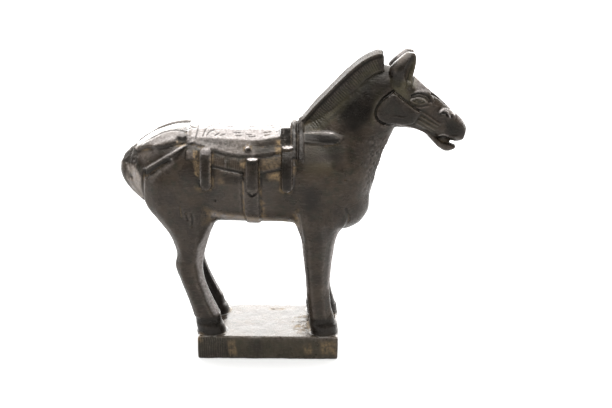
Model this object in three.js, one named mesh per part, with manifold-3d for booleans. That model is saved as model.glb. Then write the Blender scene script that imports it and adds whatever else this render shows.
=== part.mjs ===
// A small moulded clay horse of the old tomb type, saddled, standing on its own low plinth.
// X points the way the horse faces, Y to its left side and Z up. Sizes are in millimetres.
// Horse, harness and plinth were pressed and fired as one piece, so they are one solid.
import * as THREE from "three";
import { mergeVertices } from "three/addons/utils/BufferGeometryUtils.js";
import Module from "manifold-3d";

const wasm = await Module();
wasm.setup();

// Driving dimensions
const horseHeight = 137; // from the plinth's top to the ear tips
const plinthLength = 68;
const plinthWidth = 37;
const plinthHeight = 12;
const plinthEdge = 0.9; // rounding of the slab's top and bottom edges
const plinthCorner = 1.2; // rounding of its upright corners, inside that edge
const hoofSink = 1; // how far each hoof runs down into the slab
const flapRise = 1.9; // the relief of each layer of the harness above the body
const blanketRise = 0.9;
const strapRise = 2.7;
const girthRise = 0.9;
const bandRise = 1.8;
const breechRise = 1.3;
const browRise = 0.9;
const hairPitch = 1.9; // from one groove of the mane to the next
const hairDepth = 0.45;

const clay = { color: 0x4a443f, roughness: 0.5, metalness: 0 };

// The figure is drawn in side view on a grid of 137 steps from the plinth to the ear tips.
const gridSteps = 137;
const step = horseHeight / gridSteps;
const throughDepth = 70; // wide enough, in steps, to pass through the whole figure
const sunk = -hoofSink / step; // the level of the hooves' undersides, inside the slab

// Rings of points, one after another along a mass, become one closed skin.
function skin(rings) {
  const count = rings[0].length;
  const points = rings.flat();
  const middleOf = (ring) => ring.reduce((sum, p) => sum.add(p), new THREE.Vector3()).divideScalar(count);
  points.push(middleOf(rings[0]), middleOf(rings[rings.length - 1]));
  const startCap = points.length - 2;
  const endCap = points.length - 1;
  const lastRing = (rings.length - 1) * count;
  const faces = [];
  for (let k = 0; k < count; k++) {
    const next = (k + 1) % count;
    for (let low = 0; low < lastRing; low += count) {
      faces.push([low + k, low + count + k, low + next]);
      faces.push([low + next, low + count + k, low + count + next]);
    }
    faces.push([startCap, k, next]);
    faces.push([endCap, lastRing + next, lastRing + k]);
  }
  return toSolid(points, faces);
}

// A closed set of triangles as a solid that faces outwards
function toSolid(points, faces) {
  const volume = faces.reduce((sum, [a, b, c]) => {
    const across = new THREE.Vector3().crossVectors(points[b], points[c]);
    return sum + points[a].dot(across);
  }, 0);
  const turned = volume < 0 ? faces.map(([a, b, c]) => [a, c, b]) : faces;
  return new wasm.Manifold(
    new wasm.Mesh({
      numProp: 3,
      vertProperties: new Float32Array(points.flatMap((p) => [p.x, p.y, p.z])),
      triVerts: new Uint32Array(turned.flat()),
    }),
  );
}

// A three.js geometry as a solid, once its shared corners are merged
function fromGeometry(geometry) {
  geometry.deleteAttribute("normal");
  geometry.deleteAttribute("uv");
  const merged = mergeVertices(geometry, 1e-4);
  const place = merged.attributes.position;
  const points = Array.from({ length: place.count }, (_, i) => new THREE.Vector3().fromBufferAttribute(place, i));
  const faces = [];
  for (let i = 0; i < merged.index.count; i += 3) faces.push(Array.from(merged.index.array.slice(i, i + 3)));
  const whole = faces.filter(([a, b, c]) => a !== b && b !== c && c !== a);
  return toSolid(points, whole);
}

// A mass is a row of stations. Each is one oval: its back and front point in side view,
// its half width, and how far its middle stands to the side. Smooth curves run through them.
// A taper above 0 makes the oval narrower at its back point than at its front point.
function mass(stations, { sides = 16, perSpan = 2, grow = 0, side = 1, square = 2, taper = 0 } = {}) {
  const curve = (a, b) => new THREE.SplineCurve(stations.map((s) => new THREE.Vector2(s[a], s[b] ?? 0)));
  const backs = curve(0, 1);
  const fronts = curve(2, 3);
  const widths = curve(4, 5);
  const soften = (v) => Math.sign(v) * Math.abs(v) ** (2 / square);
  const last = (stations.length - 1) * perSpan;
  const rings = [];
  for (let i = 0; i <= last; i++) {
    const back = backs.getPoint(i / last);
    const front = fronts.getPoint(i / last);
    const width = widths.getPoint(i / last);
    const middle = back.clone().add(front).multiplyScalar(0.5);
    const reach = front.clone().sub(middle);
    reach.setLength(reach.length() + grow);
    const ring = [];
    for (let k = 0; k < sides; k++) {
      const turn = (2 * Math.PI * k) / sides;
      const along = soften(Math.cos(turn));
      const across = soften(Math.sin(turn)) * (width.x * (1 + taper * along) + grow) + width.y;
      const point = new THREE.Vector3(middle.x + reach.x * along, side * across, middle.y + reach.y * along);
      ring.push(point.multiplyScalar(step));
    }
    rings.push(ring);
  }
  return skin(rings);
}

const join = (solids) => solids.reduce((whole, next) => whole.add(next));
const bothSides = (make) => join([make(1), make(-1)]);

// A side-view outline carried right through the figure from one flank to the other
function through(outline) {
  const prism = new THREE.ExtrudeGeometry(outline, { depth: throughDepth, bevelEnabled: false, curveSegments: 4 });
  prism.rotateX(Math.PI / 2);
  prism.translate(0, throughDepth / 2, 0);
  prism.scale(step, step, step);
  return fromGeometry(prism);
}

const spline = (pairs, count) =>
  new THREE.SplineCurve(pairs.map(([x, z]) => new THREE.Vector2(x, z))).getPoints(count);

// A ribbon lies between an upper and a lower edge, both drawn from tail to head.
const ribbon = (upper, lower, count = 6) =>
  through(new THREE.Shape([...spline(upper, count), ...spline(lower, count).reverse()]));

const block = (x0, x1, z0, z1) =>
  through(
    new THREE.Shape([
      new THREE.Vector2(x0, z0),
      new THREE.Vector2(x1, z0),
      new THREE.Vector2(x1, z1),
      new THREE.Vector2(x0, z1),
    ]),
  );

// A hanging strap end: straight sides, a rounded foot, and a top that is square or rounded
function tongueDown(x, width, top, foot, roundTop = false) {
  const half = width / 2;
  const shape = new THREE.Shape();
  shape.moveTo(x - half, top - half);
  shape.lineTo(x - half, foot + half);
  shape.absarc(x, foot + half, half, Math.PI, 2 * Math.PI, false);
  shape.lineTo(x + half, top - half);
  if (roundTop) shape.absarc(x, top - half, half, 0, Math.PI, false);
  else shape.lineTo(x + half, top).lineTo(x - half, top);
  return through(shape);
}

// The bare body. Each row below is one station of a mass: back x, back z, front x, front z,
// half width and side offset, all in steps, from the tail forwards or from the top down.
const trunk = [
  [-65.6, 85, -65.4, 77, 4.6],
  [-62.6, 90.4, -62, 70, 10.4],
  [-56, 95.8, -54, 63.5, 15.4],
  [-46, 100.2, -44, 58.5, 18.8],
  [-35, 101.4, -33, 55.4, 20],
  [-20, 100.2, -19, 54.9, 20.2],
  [-5, 99.4, -5, 54.7, 20.4],
  [10, 99.4, 10, 54.4, 20.4],
  [24, 100, 24, 51.8, 20],
  [35, 94, 36, 50.8, 18],
  [43, 86, 43.8, 54, 14.2],
  [48.6, 77, 48.2, 60, 8],
];
const neck = [
  [3, 96, 34, 55, 14],
  [12, 101.5, 45.5, 62, 17.2],
  [20, 106, 49.4, 71, 16.2],
  [28, 113, 51.3, 79, 13.8],
  [36, 120.6, 54, 88, 11.8],
  [44, 127.2, 57.2, 95.5, 10.3],
  [51, 130.2, 60, 101.5, 9.2],
  [57, 129.6, 63, 107, 7.6],
];
const head = [
  [54.5, 124, 54, 112, 5],
  [58, 129.2, 55, 105, 7.4],
  [63, 128.8, 58.6, 101.8, 8.5],
  [68, 125.3, 64, 101.3, 8.4],
  [72.5, 121.2, 69, 100.5, 7.8],
  [77.5, 117, 73.5, 99, 6.7],
  [82.5, 112.5, 78.5, 97.4, 5.9],
  [87, 108.5, 83.3, 95.6, 5.7],
  [90.6, 105, 88, 94.4, 5.4],
  [92.9, 100.8, 91.3, 94.8, 3.8],
];
const lowerJaw = [
  [66, 107, 66, 101.8, 4.4],
  [73.5, 102, 72.5, 98.8, 4.7],
  [78.3, 97.4, 76.5, 94.8, 4.5],
  [81.6, 94.8, 80, 91.2, 4.4],
  [85.4, 93.4, 83.8, 89.2, 4.1],
  [88.6, 92.4, 87.4, 90.2, 2.8],
];
const hindLeg = [
  [-54, 89, -34, 92, 5, 10],
  [-58, 79, -25.5, 82, 9.4, 10.2],
  [-56.6, 67, -22.6, 67, 10, 10.4],
  [-51.2, 59, -24, 58, 9, 10.8],
  [-46.2, 52, -26.5, 52, 7.9, 11],
  [-43.8, 46, -28.4, 46.5, 6.8, 11],
  [-42.9, 41, -29.8, 41.5, 6, 11],
  [-43.9, 36, -30.9, 36, 5.6, 11],
  [-43.2, 31.8, -30.9, 30, 5.2, 11],
  [-40.5, 24, -29.3, 23.5, 4.9, 11],
  [-37.4, 14, -25.8, 14.5, 4.9, 11],
  [-35.7, 8, -23.2, 9, 5.2, 11],
];
const hindHoof = [
  [-35.6, 9, -23.2, 9.6, 5, 11],
  [-35.2, 6, -22.6, 5.4, 5.6, 11],
  [-35.3, 4.8, -21.6, 3.6, 6.2, 11],
  [-34.8, 1.2, -20.8, 0.6, 6.5, 11],
  [-35, 0.1, -20.2, -0.1, 6.8, 11],
  [-35, sunk, -20.2, sunk, 6.8, 11],
];
const frontLeg = [
  [14, 84, 35, 80, 4.6, 8.6],
  [11.4, 73.4, 39, 69.4, 8.2, 9.8],
  [12.2, 61, 39, 58.2, 9.4, 10.2],
  [14.5, 54, 34.5, 53, 8.2, 10.8],
  [16.3, 48.5, 32.6, 48, 7, 11],
  [17.3, 40, 31.2, 40, 6, 11],
  [18, 32, 30.3, 31, 5.5, 11],
  [18.9, 22, 29.9, 22, 5.2, 11],
  [19.6, 13, 30.6, 13, 5.3, 11],
  [20.1, 7.6, 32, 8, 5.6, 11],
];
const frontHoof = [
  [20.1, 9, 31.8, 9.2, 5.3, 11],
  [19.9, 5.6, 32.6, 5.8, 5.9, 11],
  [20, 4.4, 33.6, 4.2, 6.5, 11],
  [20.8, 1, 33.9, 0.8, 6.5, 11],
  [20.4, 0.1, 34.2, -0.1, 6.8, 11],
  [20.4, sunk, 34.2, sunk, 6.8, 11],
];
const tail = [
  [-57, 93, -54, 86, 3.6],
  [-62.8, 91, -58, 82, 5.4],
  [-67, 87, -60, 79, 7],
  [-69.5, 82, -59, 75.5, 7.4],
  [-68.8, 76, -57.5, 71.5, 6.8],
  [-65, 69.8, -55, 66.5, 5.6],
  [-58.6, 63.4, -51, 61, 3.8],
];

// The left hind leg bows back a little, and the left fore leg is thicker low down behind.
const hindBow = 1.8;
const bowTop = 60; // level where the bow of the hind leg ends
const foreHeel = 2.2;
const heelTop = 30; // level where the thickening of the fore leg ends
const bowed = (stations) =>
  stations.map(([bx, bz, fx, fz, ...rest]) => {
    const bow = (z) => hindBow * Math.sin(Math.PI * THREE.MathUtils.clamp(z / bowTop, 0, 1));
    return [bx - bow(bz), bz, fx - bow(fz), fz, ...rest];
  });
const heeled = (stations) =>
  stations.map(([bx, bz, ...rest]) => {
    const heel = foreHeel * THREE.MathUtils.clamp(1 - bz / heelTop, 0, 1);
    return [bx - heel, bz, ...rest];
  });

const torso = (grow) =>
  join([
    mass(trunk, { sides: 28, perSpan: 1, grow, square: 2.2 }),
    mass(neck, { sides: 18, perSpan: 1, grow, taper: 0.3 }),
  ]);
const legs = () =>
  join([
    mass(hindLeg, { sides: 12, perSpan: 1, side: -1, square: 2.3 }),
    mass(bowed(hindLeg), { sides: 12, perSpan: 1, square: 2.3 }),
    mass(frontLeg, { sides: 12, perSpan: 1, side: -1, square: 2.3 }),
    mass(heeled(frontLeg), { sides: 12, perSpan: 1, square: 2.3 }),
    mass(hindHoof, { sides: 12, perSpan: 1, side: -1 }),
    mass(bowed(hindHoof), { sides: 12, perSpan: 1 }),
    mass(frontHoof, { sides: 12, perSpan: 1, side: -1 }),
    mass(heeled(frontHoof), { sides: 12, perSpan: 1 }),
  ]);
const skull = (grow) => mass(head, { sides: 18, perSpan: 1, grow, taper: 0.12, square: 2.2 });

// The harness lies over the body: each layer is the body grown by its rise, within an outline.
const girthSpan = { back: -10, front: -2.6 };
const bandSpans = [
  { back: 11, front: 14.1 },
  { back: 14.6, front: 17.4 },
];

function harness() {
  const within = (rise, outline) => torso(rise / step).intersect(outline);
  const blanketFoot = [
    [-36, 89.8],
    [-31, 89.4],
    [-24, 86.8],
    [-15, 85.6],
    [-7, 84],
    [1, 83.4],
    [7, 85],
    [14, 87],
  ];
  const flapFoot = [
    [-33, 94],
    [-24, 92.4],
    [-16, 90.8],
    [-8, 89.6],
    [-2.5, 89.8],
    [3, 90.4],
    [8, 91.4],
  ];
  const above = (foot) => foot.map(([x]) => [x, 106]);
  const crupper = ribbon(
    [
      [-36, 103],
      [-45, 101.4],
      [-52, 98.4],
      [-58, 94.4],
      [-62, 90.6],
    ],
    [
      [-36, 96.8],
      [-45, 95.6],
      [-52, 93.8],
      [-58, 91.6],
      [-62, 89.2],
    ],
  );
  const breeching = ribbon(
    [
      [-32.5, 97.6],
      [-38, 95.4],
      [-44, 91.9],
      [-50, 88],
      [-57.5, 82.8],
    ],
    [
      [-32.5, 95.4],
      [-38, 93.2],
      [-44, 89],
      [-50, 84],
      [-56, 79.6],
    ],
  );
  const chestTongue = ribbon(
    [
      [17, 99.8],
      [25, 100.3],
      [32, 99.6],
      [35.4, 97.4],
    ],
    [
      [17, 94.4],
      [25, 94.8],
      [32, 95.4],
      [35.4, 97.2],
    ],
  );
  return join([
    within(blanketRise, ribbon(above(blanketFoot), blanketFoot)),
    within(flapRise, ribbon(above(flapFoot), flapFoot)),
    within(bandRise, block(-36.4, -31.4, 93.6, 106)),
    within(girthRise, block(girthSpan.back, girthSpan.front, 45, 90)),
    within(strapRise, tongueDown(-27, 5.8, 94, 76, true)),
    within(strapRise, tongueDown(-5.7, 5.8, 89.4, 73.2)),
    within(strapRise, tongueDown(10, 6.2, 94, 75.6)),
    ...bandSpans.map(({ back, front }) => within(bandRise, block(back, front, 90, 112))),
    within(breechRise, crupper),
    within(breechRise, breeching),
    within(breechRise, chestTongue),
  ]);
}

// A cross-section that runs along the back: each row gives x, then half width and height
// for the crown, the shoulder, the ridge and the skirt of the saddle.
function saddleSection([x, crown, shoulder, ridge, skirt]) {
  const half = [shoulder, ridge, skirt];
  const right = half.map(([y, z]) => [-y, z]);
  const left = half.map(([y, z]) => [y, z]).reverse();
  const foot = [0, skirt[1] - 2];
  return [[0, crown], ...right, foot, ...left].map(([y, z]) => new THREE.Vector3(x, y, z).multiplyScalar(step));
}

function saddle() {
  const seat = [
    [-32, 102.4, [8, 101.6], [13.2, 98.8], [16.2, 94.4]],
    [-25, 102.5, [8, 101.6], [13.5, 98.6], [16.8, 93.4]],
    [-16, 102.5, [8, 101.5], [13.8, 98.2], [17, 92.8]],
    [-6, 102.4, [8, 101.4], [13.9, 97.8], [17.2, 92]],
    [0, 102.3, [8, 101.3], [13.8, 98.4], [17, 92]],
    [7.2, 102, [7.6, 101.2], [13, 99.6], [16.6, 92.6]],
  ];
  const pommel = [
    [6.9, 103, [6.4, 102.5], [11.6, 100.2], [14.8, 93.6]],
    [11, 103.4, [6, 102.9], [11.2, 100.6], [14.9, 93.6]],
  ];
  const button = { x: -7.8, z: 94.6, radius: 1.2, reach: 17.6 };
  const studs = new THREE.CylinderGeometry(button.radius, button.radius, 2 * button.reach, 10);
  studs.translate(button.x, 0, button.z);
  studs.scale(step, step, step);
  return join([skin(seat.map(saddleSection)), skin(pommel.map(saddleSection)), fromGeometry(studs)]);
}

// The clipped mane is a wall with an upright cut top and hair grooves down both faces.
function mane() {
  const crest = new THREE.SplineCurve(
    [
      [16.4, 104.6],
      [19, 107.6],
      [22.6, 112],
      [27.2, 116.8],
      [31.8, 121.6],
      [37.8, 127.6],
      [44, 132.7],
      [50, 135.7],
      [53, 136],
    ].map(([x, z]) => new THREE.Vector2(x, z)),
  );
  const length = crest.getLength() * step;
  const hairs = Math.max(2, Math.round(length / hairPitch));
  const lowHalf = 4.2; // half thickness of the wall where it leaves the withers
  const highHalf = 5.4;
  const fullShare = 0.2; // share of the crest along which it thickens
  const lip = 1.4; // plain edge above the hair grooves
  const wallDepth = 8;
  const footFlare = 1.5; // how much wider each face stands at its foot
  const rings = [];
  for (let i = 0; i <= 2 * hairs; i++) {
    const share = i / (2 * hairs);
    const top = crest.getPointAt(share);
    const slope = crest.getTangentAt(share);
    const into = new THREE.Vector2(slope.y, -slope.x);
    const half = THREE.MathUtils.lerp(lowHalf, highHalf, Math.min(1, share / fullShare));
    const groove = i % 2 === 0 ? hairDepth / step : 0;
    const at = (depth, across) => {
      const point = top.clone().addScaledVector(into, depth);
      return new THREE.Vector3(point.x, across, point.y).multiplyScalar(step);
    };
    rings.push([
      at(0, -half),
      at(lip, -half + groove),
      at(wallDepth, -half - footFlare + groove),
      at(wallDepth, half + footFlare - groove),
      at(lip, half - groove),
      at(0, half),
    ]);
  }
  const tuft = new THREE.CapsuleGeometry(2, 4.6, 2, 8);
  tuft.scale(1, 1, 2.6);
  tuft.translate(52, 0, 132);
  tuft.scale(step, step, step);
  return join([skin(rings), fromGeometry(tuft)]);
}

// Ears, cheeks, eyes, brows, nostrils and the folds beside the mouth
function ball(x, y, z, rx, ry, rz, lean = 0) {
  const shape = new THREE.SphereGeometry(1, 9, 6);
  shape.scale(rx, ry, rz);
  shape.rotateY(lean);
  shape.translate(x, y, z);
  shape.scale(step, step, step);
  return fromGeometry(shape);
}

function cheeks() {
  const profile = [
    [0, 10.4],
    [4.6, 10.1],
    [7, 9.5],
    [8.3, 8.2],
    [8.6, 6],
  ].map(([r, y]) => new THREE.Vector2(r, y));
  const mirrored = profile.map((p) => new THREE.Vector2(p.x, -p.y));
  const disc = new THREE.LatheGeometry([...mirrored, ...profile.reverse()], 16);
  disc.scale(step, step, step);
  disc.translate(59.5 * step, 0, 111 * step);
  return fromGeometry(disc);
}

function ear(side) {
  const outside = [
    [56.4, 122.5, 66, 119.5, 4, 5.6],
    [55.8, 128.6, 66.8, 125.8, 4.2, 5.6],
    [57.8, 131.4, 67.8, 129.6, 3.7, 5.2],
    [60.8, 134.4, 68.2, 133.2, 2.8, 4.6],
    [64, 136.8, 67.6, 136.2, 1.3, 4.2],
  ];
  const hollow = [
    [60.4, 126.4, 70, 124.4, 2.3, 7.6],
    [60.6, 129.8, 70.2, 128.6, 2.5, 7.2],
    [62.8, 133.2, 70.2, 132.4, 1.9, 6.4],
    [65.4, 135.4, 69, 135, 0.8, 5.4],
  ];
  const shape = mass(outside, { sides: 10, perSpan: 1, side });
  return shape.subtract(mass(hollow, { sides: 7, perSpan: 1, side }));
}

function face() {
  const grown = skull(browRise / step);
  const brow = ribbon(
    [
      [65, 118.6],
      [69.5, 118.8],
      [73.6, 117.8],
      [76.4, 113.4],
    ],
    [
      [65, 117],
      [69.2, 117],
      [72.6, 116.2],
      [75.2, 112.9],
    ],
    6,
  );
  const folds = [0, 1, 2, 3].map((i) => {
    const start = [72.6 - 0.9 * i, 108.6 - 1.7 * i];
    const end = [80 - 0.5 * i, 104 - 1.9 * i];
    const lower = (p) => [p[0] - 0.35, p[1] - 0.8];
    return ribbon([start, end], [lower(start), lower(end)], 1);
  });
  const relief = [brow, ...folds].map((outline) => grown.intersect(outline));
  const eyes = bothSides((side) => ball(71.2, side * 6.6, 114.5, 2.3, 1.7, 1.5));
  const snout = bothSides((side) => ball(84.6, side * 4, 106.6, 3.4, 2.6, 2.6, 0.5));
  const nostrils = bothSides((side) => ball(85, side * 6.6, 107.2, 1.6, 1.5, 0.9, 0.5));
  return join([skull(0), mass(lowerJaw, { sides: 12, perSpan: 1 }), cheeks(), ...relief, eyes, snout])
    .subtract(nostrils)
    .add(bothSides(ear));
}

// The slab that the horse stands on
function plinth() {
  const half = { x: plinthLength / 2 - plinthEdge, y: plinthWidth / 2 - plinthEdge };
  const middle = { x: half.x - plinthCorner, y: half.y - plinthCorner };
  const outline = new THREE.Shape();
  outline.absarc(middle.x, -middle.y, plinthCorner, -Math.PI / 2, 0);
  outline.absarc(middle.x, middle.y, plinthCorner, 0, Math.PI / 2);
  outline.absarc(-middle.x, middle.y, plinthCorner, Math.PI / 2, Math.PI);
  outline.absarc(-middle.x, -middle.y, plinthCorner, Math.PI, 1.5 * Math.PI);
  const slab = new THREE.ExtrudeGeometry(outline, {
    depth: plinthHeight - 2 * plinthEdge,
    bevelThickness: plinthEdge,
    bevelSize: plinthEdge,
    bevelSegments: 2,
    curveSegments: 2,
  });
  slab.translate(0, 0, plinthEdge - plinthHeight);
  return fromGeometry(slab);
}

const figure = join([
  torso(0),
  legs(),
  harness(),
  saddle(),
  mane(),
  face(),
  mass(tail, { sides: 12, perSpan: 1 }),
  plinth(),
]);

const made = figure.getMesh();
const geometry = new THREE.BufferGeometry();
geometry.setAttribute("position", new THREE.BufferAttribute(made.vertProperties, 3));
geometry.setIndex(new THREE.BufferAttribute(made.triVerts, 1));
geometry.computeVertexNormals();

const horse = new THREE.Mesh(geometry, new THREE.MeshStandardMaterial(clay));
horse.name = "tomb_horse";
horse.position.z = plinthHeight; // the hooves stand on the slab's top, the slab on the ground

const model = new THREE.Group();
model.add(horse);
export default model;
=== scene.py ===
"""A saddled clay horse on its plinth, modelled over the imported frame."""

import itertools
import math

import bmesh
import bpy
import numpy as np
from bpy.props import FloatProperty, FloatVectorProperty, IntProperty, PointerProperty
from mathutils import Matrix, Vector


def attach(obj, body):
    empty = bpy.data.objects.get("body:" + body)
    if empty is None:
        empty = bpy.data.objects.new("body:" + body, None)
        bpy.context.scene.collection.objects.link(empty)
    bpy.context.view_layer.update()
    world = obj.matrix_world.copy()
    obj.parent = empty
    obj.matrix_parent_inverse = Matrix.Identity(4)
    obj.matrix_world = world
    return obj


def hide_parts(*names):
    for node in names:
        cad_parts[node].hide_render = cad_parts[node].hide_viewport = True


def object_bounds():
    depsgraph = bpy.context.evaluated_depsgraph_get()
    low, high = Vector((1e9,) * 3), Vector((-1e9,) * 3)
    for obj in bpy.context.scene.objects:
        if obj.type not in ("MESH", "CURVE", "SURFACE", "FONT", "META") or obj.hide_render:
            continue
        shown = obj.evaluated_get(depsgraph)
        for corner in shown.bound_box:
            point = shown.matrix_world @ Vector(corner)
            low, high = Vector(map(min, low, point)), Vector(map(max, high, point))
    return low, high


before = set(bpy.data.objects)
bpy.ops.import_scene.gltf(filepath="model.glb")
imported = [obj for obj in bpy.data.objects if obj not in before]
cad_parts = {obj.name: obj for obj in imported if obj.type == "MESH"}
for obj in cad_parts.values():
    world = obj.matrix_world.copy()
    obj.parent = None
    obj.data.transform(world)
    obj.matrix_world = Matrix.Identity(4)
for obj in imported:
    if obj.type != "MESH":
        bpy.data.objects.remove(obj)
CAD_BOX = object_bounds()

bl_info = {
    "name": "Clay horse on a plinth",
    "version": (1, 0, 0),
    "blender": (4, 5, 0),
    "location": "3D View > Sidebar > Clay horse",
    "description": "Models a moulded clay horse with its harness, and the stage it stands on",
    "category": "Object",
}

NODE = "tomb_horse"
PIECE = "clay_horse"
# Where the camera stands, in metres, and how it is turned, in degrees
CAMERA_SPOT = (0.025924, -0.451042, 0.238159)
CAMERA_TURN = (70, 0, 0.966)
# Near limit of the camera's view, in metres
CAMERA_NEAR = 0.01
# Side of the square floor, in metres
FLOOR_SIZE = 8

# Side views are drawn in steps: this many from the plinth's top to the ear tips.
GRID_STEPS = 137

# Each row is one station of a mass: back x, back z, front x, front z, half width and
# side offset, from the tail forwards or from the top down.
TRUNK = (
    (-65.6, 85, -65.4, 77, 4.6, 0),
    (-62.6, 90.4, -62, 70, 10.4, 0),
    (-56, 95.8, -54, 63.5, 15.4, 0),
    (-46, 100.2, -44, 58.5, 18.8, 0),
    (-35, 101.4, -33, 55.4, 20, 0),
    (-20, 100.2, -19, 54.9, 20.2, 0),
    (-5, 99.4, -5, 54.7, 20.4, 0),
    (10, 99.4, 10, 54.4, 20.4, 0),
    (24, 100, 24, 51.8, 20, 0),
    (35, 94, 36, 50.8, 18, 0),
    (43, 86, 43.8, 54, 14.2, 0),
    (48.6, 77, 48.2, 60, 8, 0),
)
NECK = (
    (3, 96, 34, 55, 14, 0),
    (12, 101.5, 45.5, 62, 17.2, 0),
    (20, 106, 49.4, 71, 16.2, 0),
    (28, 113, 51.3, 79, 13.8, 0),
    (36, 120.6, 54, 88, 11.8, 0),
    (44, 127.2, 57.2, 95.5, 10.3, 0),
    (51, 130.2, 60, 101.5, 9.2, 0),
    (57, 129.6, 63, 107, 7.6, 0),
)
HEAD = (
    (54.5, 124, 54, 112, 5, 0),
    (58, 129.2, 55, 105, 7.4, 0),
    (63, 128.8, 58.6, 101.8, 8.5, 0),
    (68, 125.3, 64, 101.3, 8.4, 0),
    (72.5, 121.2, 69, 100.5, 7.8, 0),
    (77.5, 117, 73.5, 99, 6.7, 0),
    (82.5, 112.5, 78.5, 97.4, 5.9, 0),
    (87, 108.5, 83.3, 95.6, 5.7, 0),
    (90.6, 105, 88, 94.4, 5.4, 0),
    (92.9, 100.8, 91.3, 94.8, 3.8, 0),
)
LOWER_JAW = (
    (66, 107, 66, 101.8, 4.4, 0),
    (73.5, 102, 72.5, 98.8, 4.7, 0),
    (78.3, 97.4, 76.5, 94.8, 4.5, 0),
    (81.6, 94.8, 80, 91.2, 4.4, 0),
    (85.4, 93.4, 83.8, 89.2, 4.1, 0),
    (88.6, 92.4, 87.4, 90.2, 2.8, 0),
)
HIND_LEG = (
    (-54, 89, -34, 92, 5, 10),
    (-58, 79, -25.5, 82, 9.4, 10.2),
    (-56.6, 67, -22.6, 67, 10, 10.4),
    (-51.2, 59, -24, 58, 9, 10.8),
    (-46.2, 52, -26.5, 52, 7.9, 11),
    (-43.8, 46, -28.4, 46.5, 6.8, 11),
    (-42.9, 41, -29.8, 41.5, 6, 11),
    (-43.9, 36, -30.9, 36, 5.6, 11),
    (-43.2, 31.8, -30.9, 30, 5.2, 11),
    (-40.5, 24, -29.3, 23.5, 4.9, 11),
    (-37.4, 14, -25.8, 14.5, 4.9, 11),
    (-35.7, 8, -23.2, 9, 5.2, 11),
)
# The left hind leg bows back by this much, halfway down from this height.
LEG_BOW = 1.8
BOW_TOP = 60
HIND_HOOF = (
    (-35.6, 9, -23.2, 9.6, 5, 11),
    (-35.2, 6, -22.6, 5.4, 5.6, 11),
    (-35.3, 4.8, -21.6, 3.6, 6.2, 11),
    (-34.8, 1.2, -20.8, 0.6, 6.5, 11),
    (-35, 0.1, -20.2, -0.1, 6.8, 11),
    (-35, -1, -20.2, -1, 6.8, 11),
)
FRONT_LEG = (
    (14, 84, 35, 80, 4.6, 8.6),
    (11.4, 73.4, 39, 69.4, 8.2, 9.8),
    (12.2, 61, 39, 58.2, 9.4, 10.2),
    (14.5, 54, 34.5, 53, 8.2, 10.8),
    (16.3, 48.5, 32.6, 48, 7, 11),
    (17.3, 40, 31.2, 40, 6, 11),
    (18, 32, 30.3, 31, 5.5, 11),
    (18.9, 22, 29.9, 22, 5.2, 11),
    (19.6, 13, 30.6, 13, 5.3, 11),
    (20.1, 7.6, 32, 8, 5.6, 11),
)
# The left fore leg is thicker behind by this much at its foot, and less up to this height.
HEEL_DEPTH = 2.2
HEEL_TOP = 30
FRONT_HOOF = (
    (20.1, 9, 31.8, 9.2, 5.3, 11),
    (19.9, 5.6, 32.6, 5.8, 5.9, 11),
    (20, 4.4, 33.6, 4.2, 6.5, 11),
    (20.8, 1, 33.9, 0.8, 6.5, 11),
    (20.4, 0.1, 34.2, -0.1, 6.8, 11),
    (20.4, -1, 34.2, -1, 6.8, 11),
)
TAIL = (
    (-57, 93, -54, 86, 3.6, 0),
    (-62.8, 91, -58, 82, 5.4, 0),
    (-67, 87, -60, 79, 7, 0),
    (-69.5, 82, -59, 75.5, 7.4, 0),
    (-68.8, 76, -57.5, 71.5, 6.8, 0),
    (-65, 69.8, -55, 66.5, 5.6, 0),
    (-58.6, 63.4, -51, 61, 3.8, 0),
)
EAR = (
    (57.6, 122, 65.4, 119.8, 2.4, 4.4),
    (56, 128.4, 66.8, 125.6, 3.7, 5.2),
    (57.6, 131.4, 67.8, 129.5, 3.5, 5.1),
    (60.8, 134.4, 68.2, 133.2, 2.7, 4.6),
    (64, 136.8, 67.6, 136.2, 1.2, 4.2),
)
EAR_HOLLOW = (
    (64.2, 121.6, 66.6, 121.4, 0.3, 8),
    (63, 124.4, 69, 123.8, 1.4, 8),
    (62.4, 129.6, 70.2, 128.6, 2.3, 7.6),
    (64, 133.2, 70.2, 132.4, 1.7, 6.6),
    (66.4, 135.2, 69, 135, 0.6, 5.4),
)

# Corners of a leg's cross-section, as shares of its reach forwards and outwards: the
# outer face, a flat ridge towards the front, and the softer back and inside
LEG_CORNERS = (
    (1, 0.3),
    (0.42, 0.97),
    (-0.6, 0.98),
    (-1, 0.42),
    (-1, -0.5),
    (-0.5, -0.95),
    (0.5, -0.95),
    (1, -0.45),
)
# The head has a flat brow and nose above, flat sides and a narrower underside.
HEAD_CORNERS = (
    (1, 0.5),
    (0.6, 0.96),
    (-0.62, 1),
    (-1, 0.56),
    (-1, -0.56),
    (-0.62, -1),
    (0.6, -0.96),
    (1, -0.5),
)
# The cheek's outline in side view
CHEEK_MIDDLE = (59.5, 111)
CHEEK = (
    (70.9, 109.6),
    (68.4, 110.7),
    (65.1, 113.1),
    (62, 115.6),
    (59.6, 117.8),
    (57.8, 118.7),
    (55.8, 117.5),
    (53.6, 115.2),
    (51.6, 112.4),
    (50.8, 109.6),
    (52, 106.9),
    (54.6, 105.1),
    (58.8, 104.4),
    (63.4, 104.1),
    (67.2, 104.5),
    (69.2, 106.8),
)
# Half width in y, and the share of the cheek's outline there
CHEEK_STATIONS = (
    (-10.5, 0.6),
    (-10.3, 0.9),
    (-9.8, 0.985),
    (-7, 1),
    (7, 1),
    (9.8, 0.985),
    (10.3, 0.9),
    (10.5, 0.6),
)

# Round bosses in the middle: place, half sizes and lean, for the mane's front end and the chin
BOSSES = (
    ((52, 0, 132), (2, 5, 4.4), 0),
    ((81.6, 0, 95.9), (4.6, 3, 2.5), 0.3),
)
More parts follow.
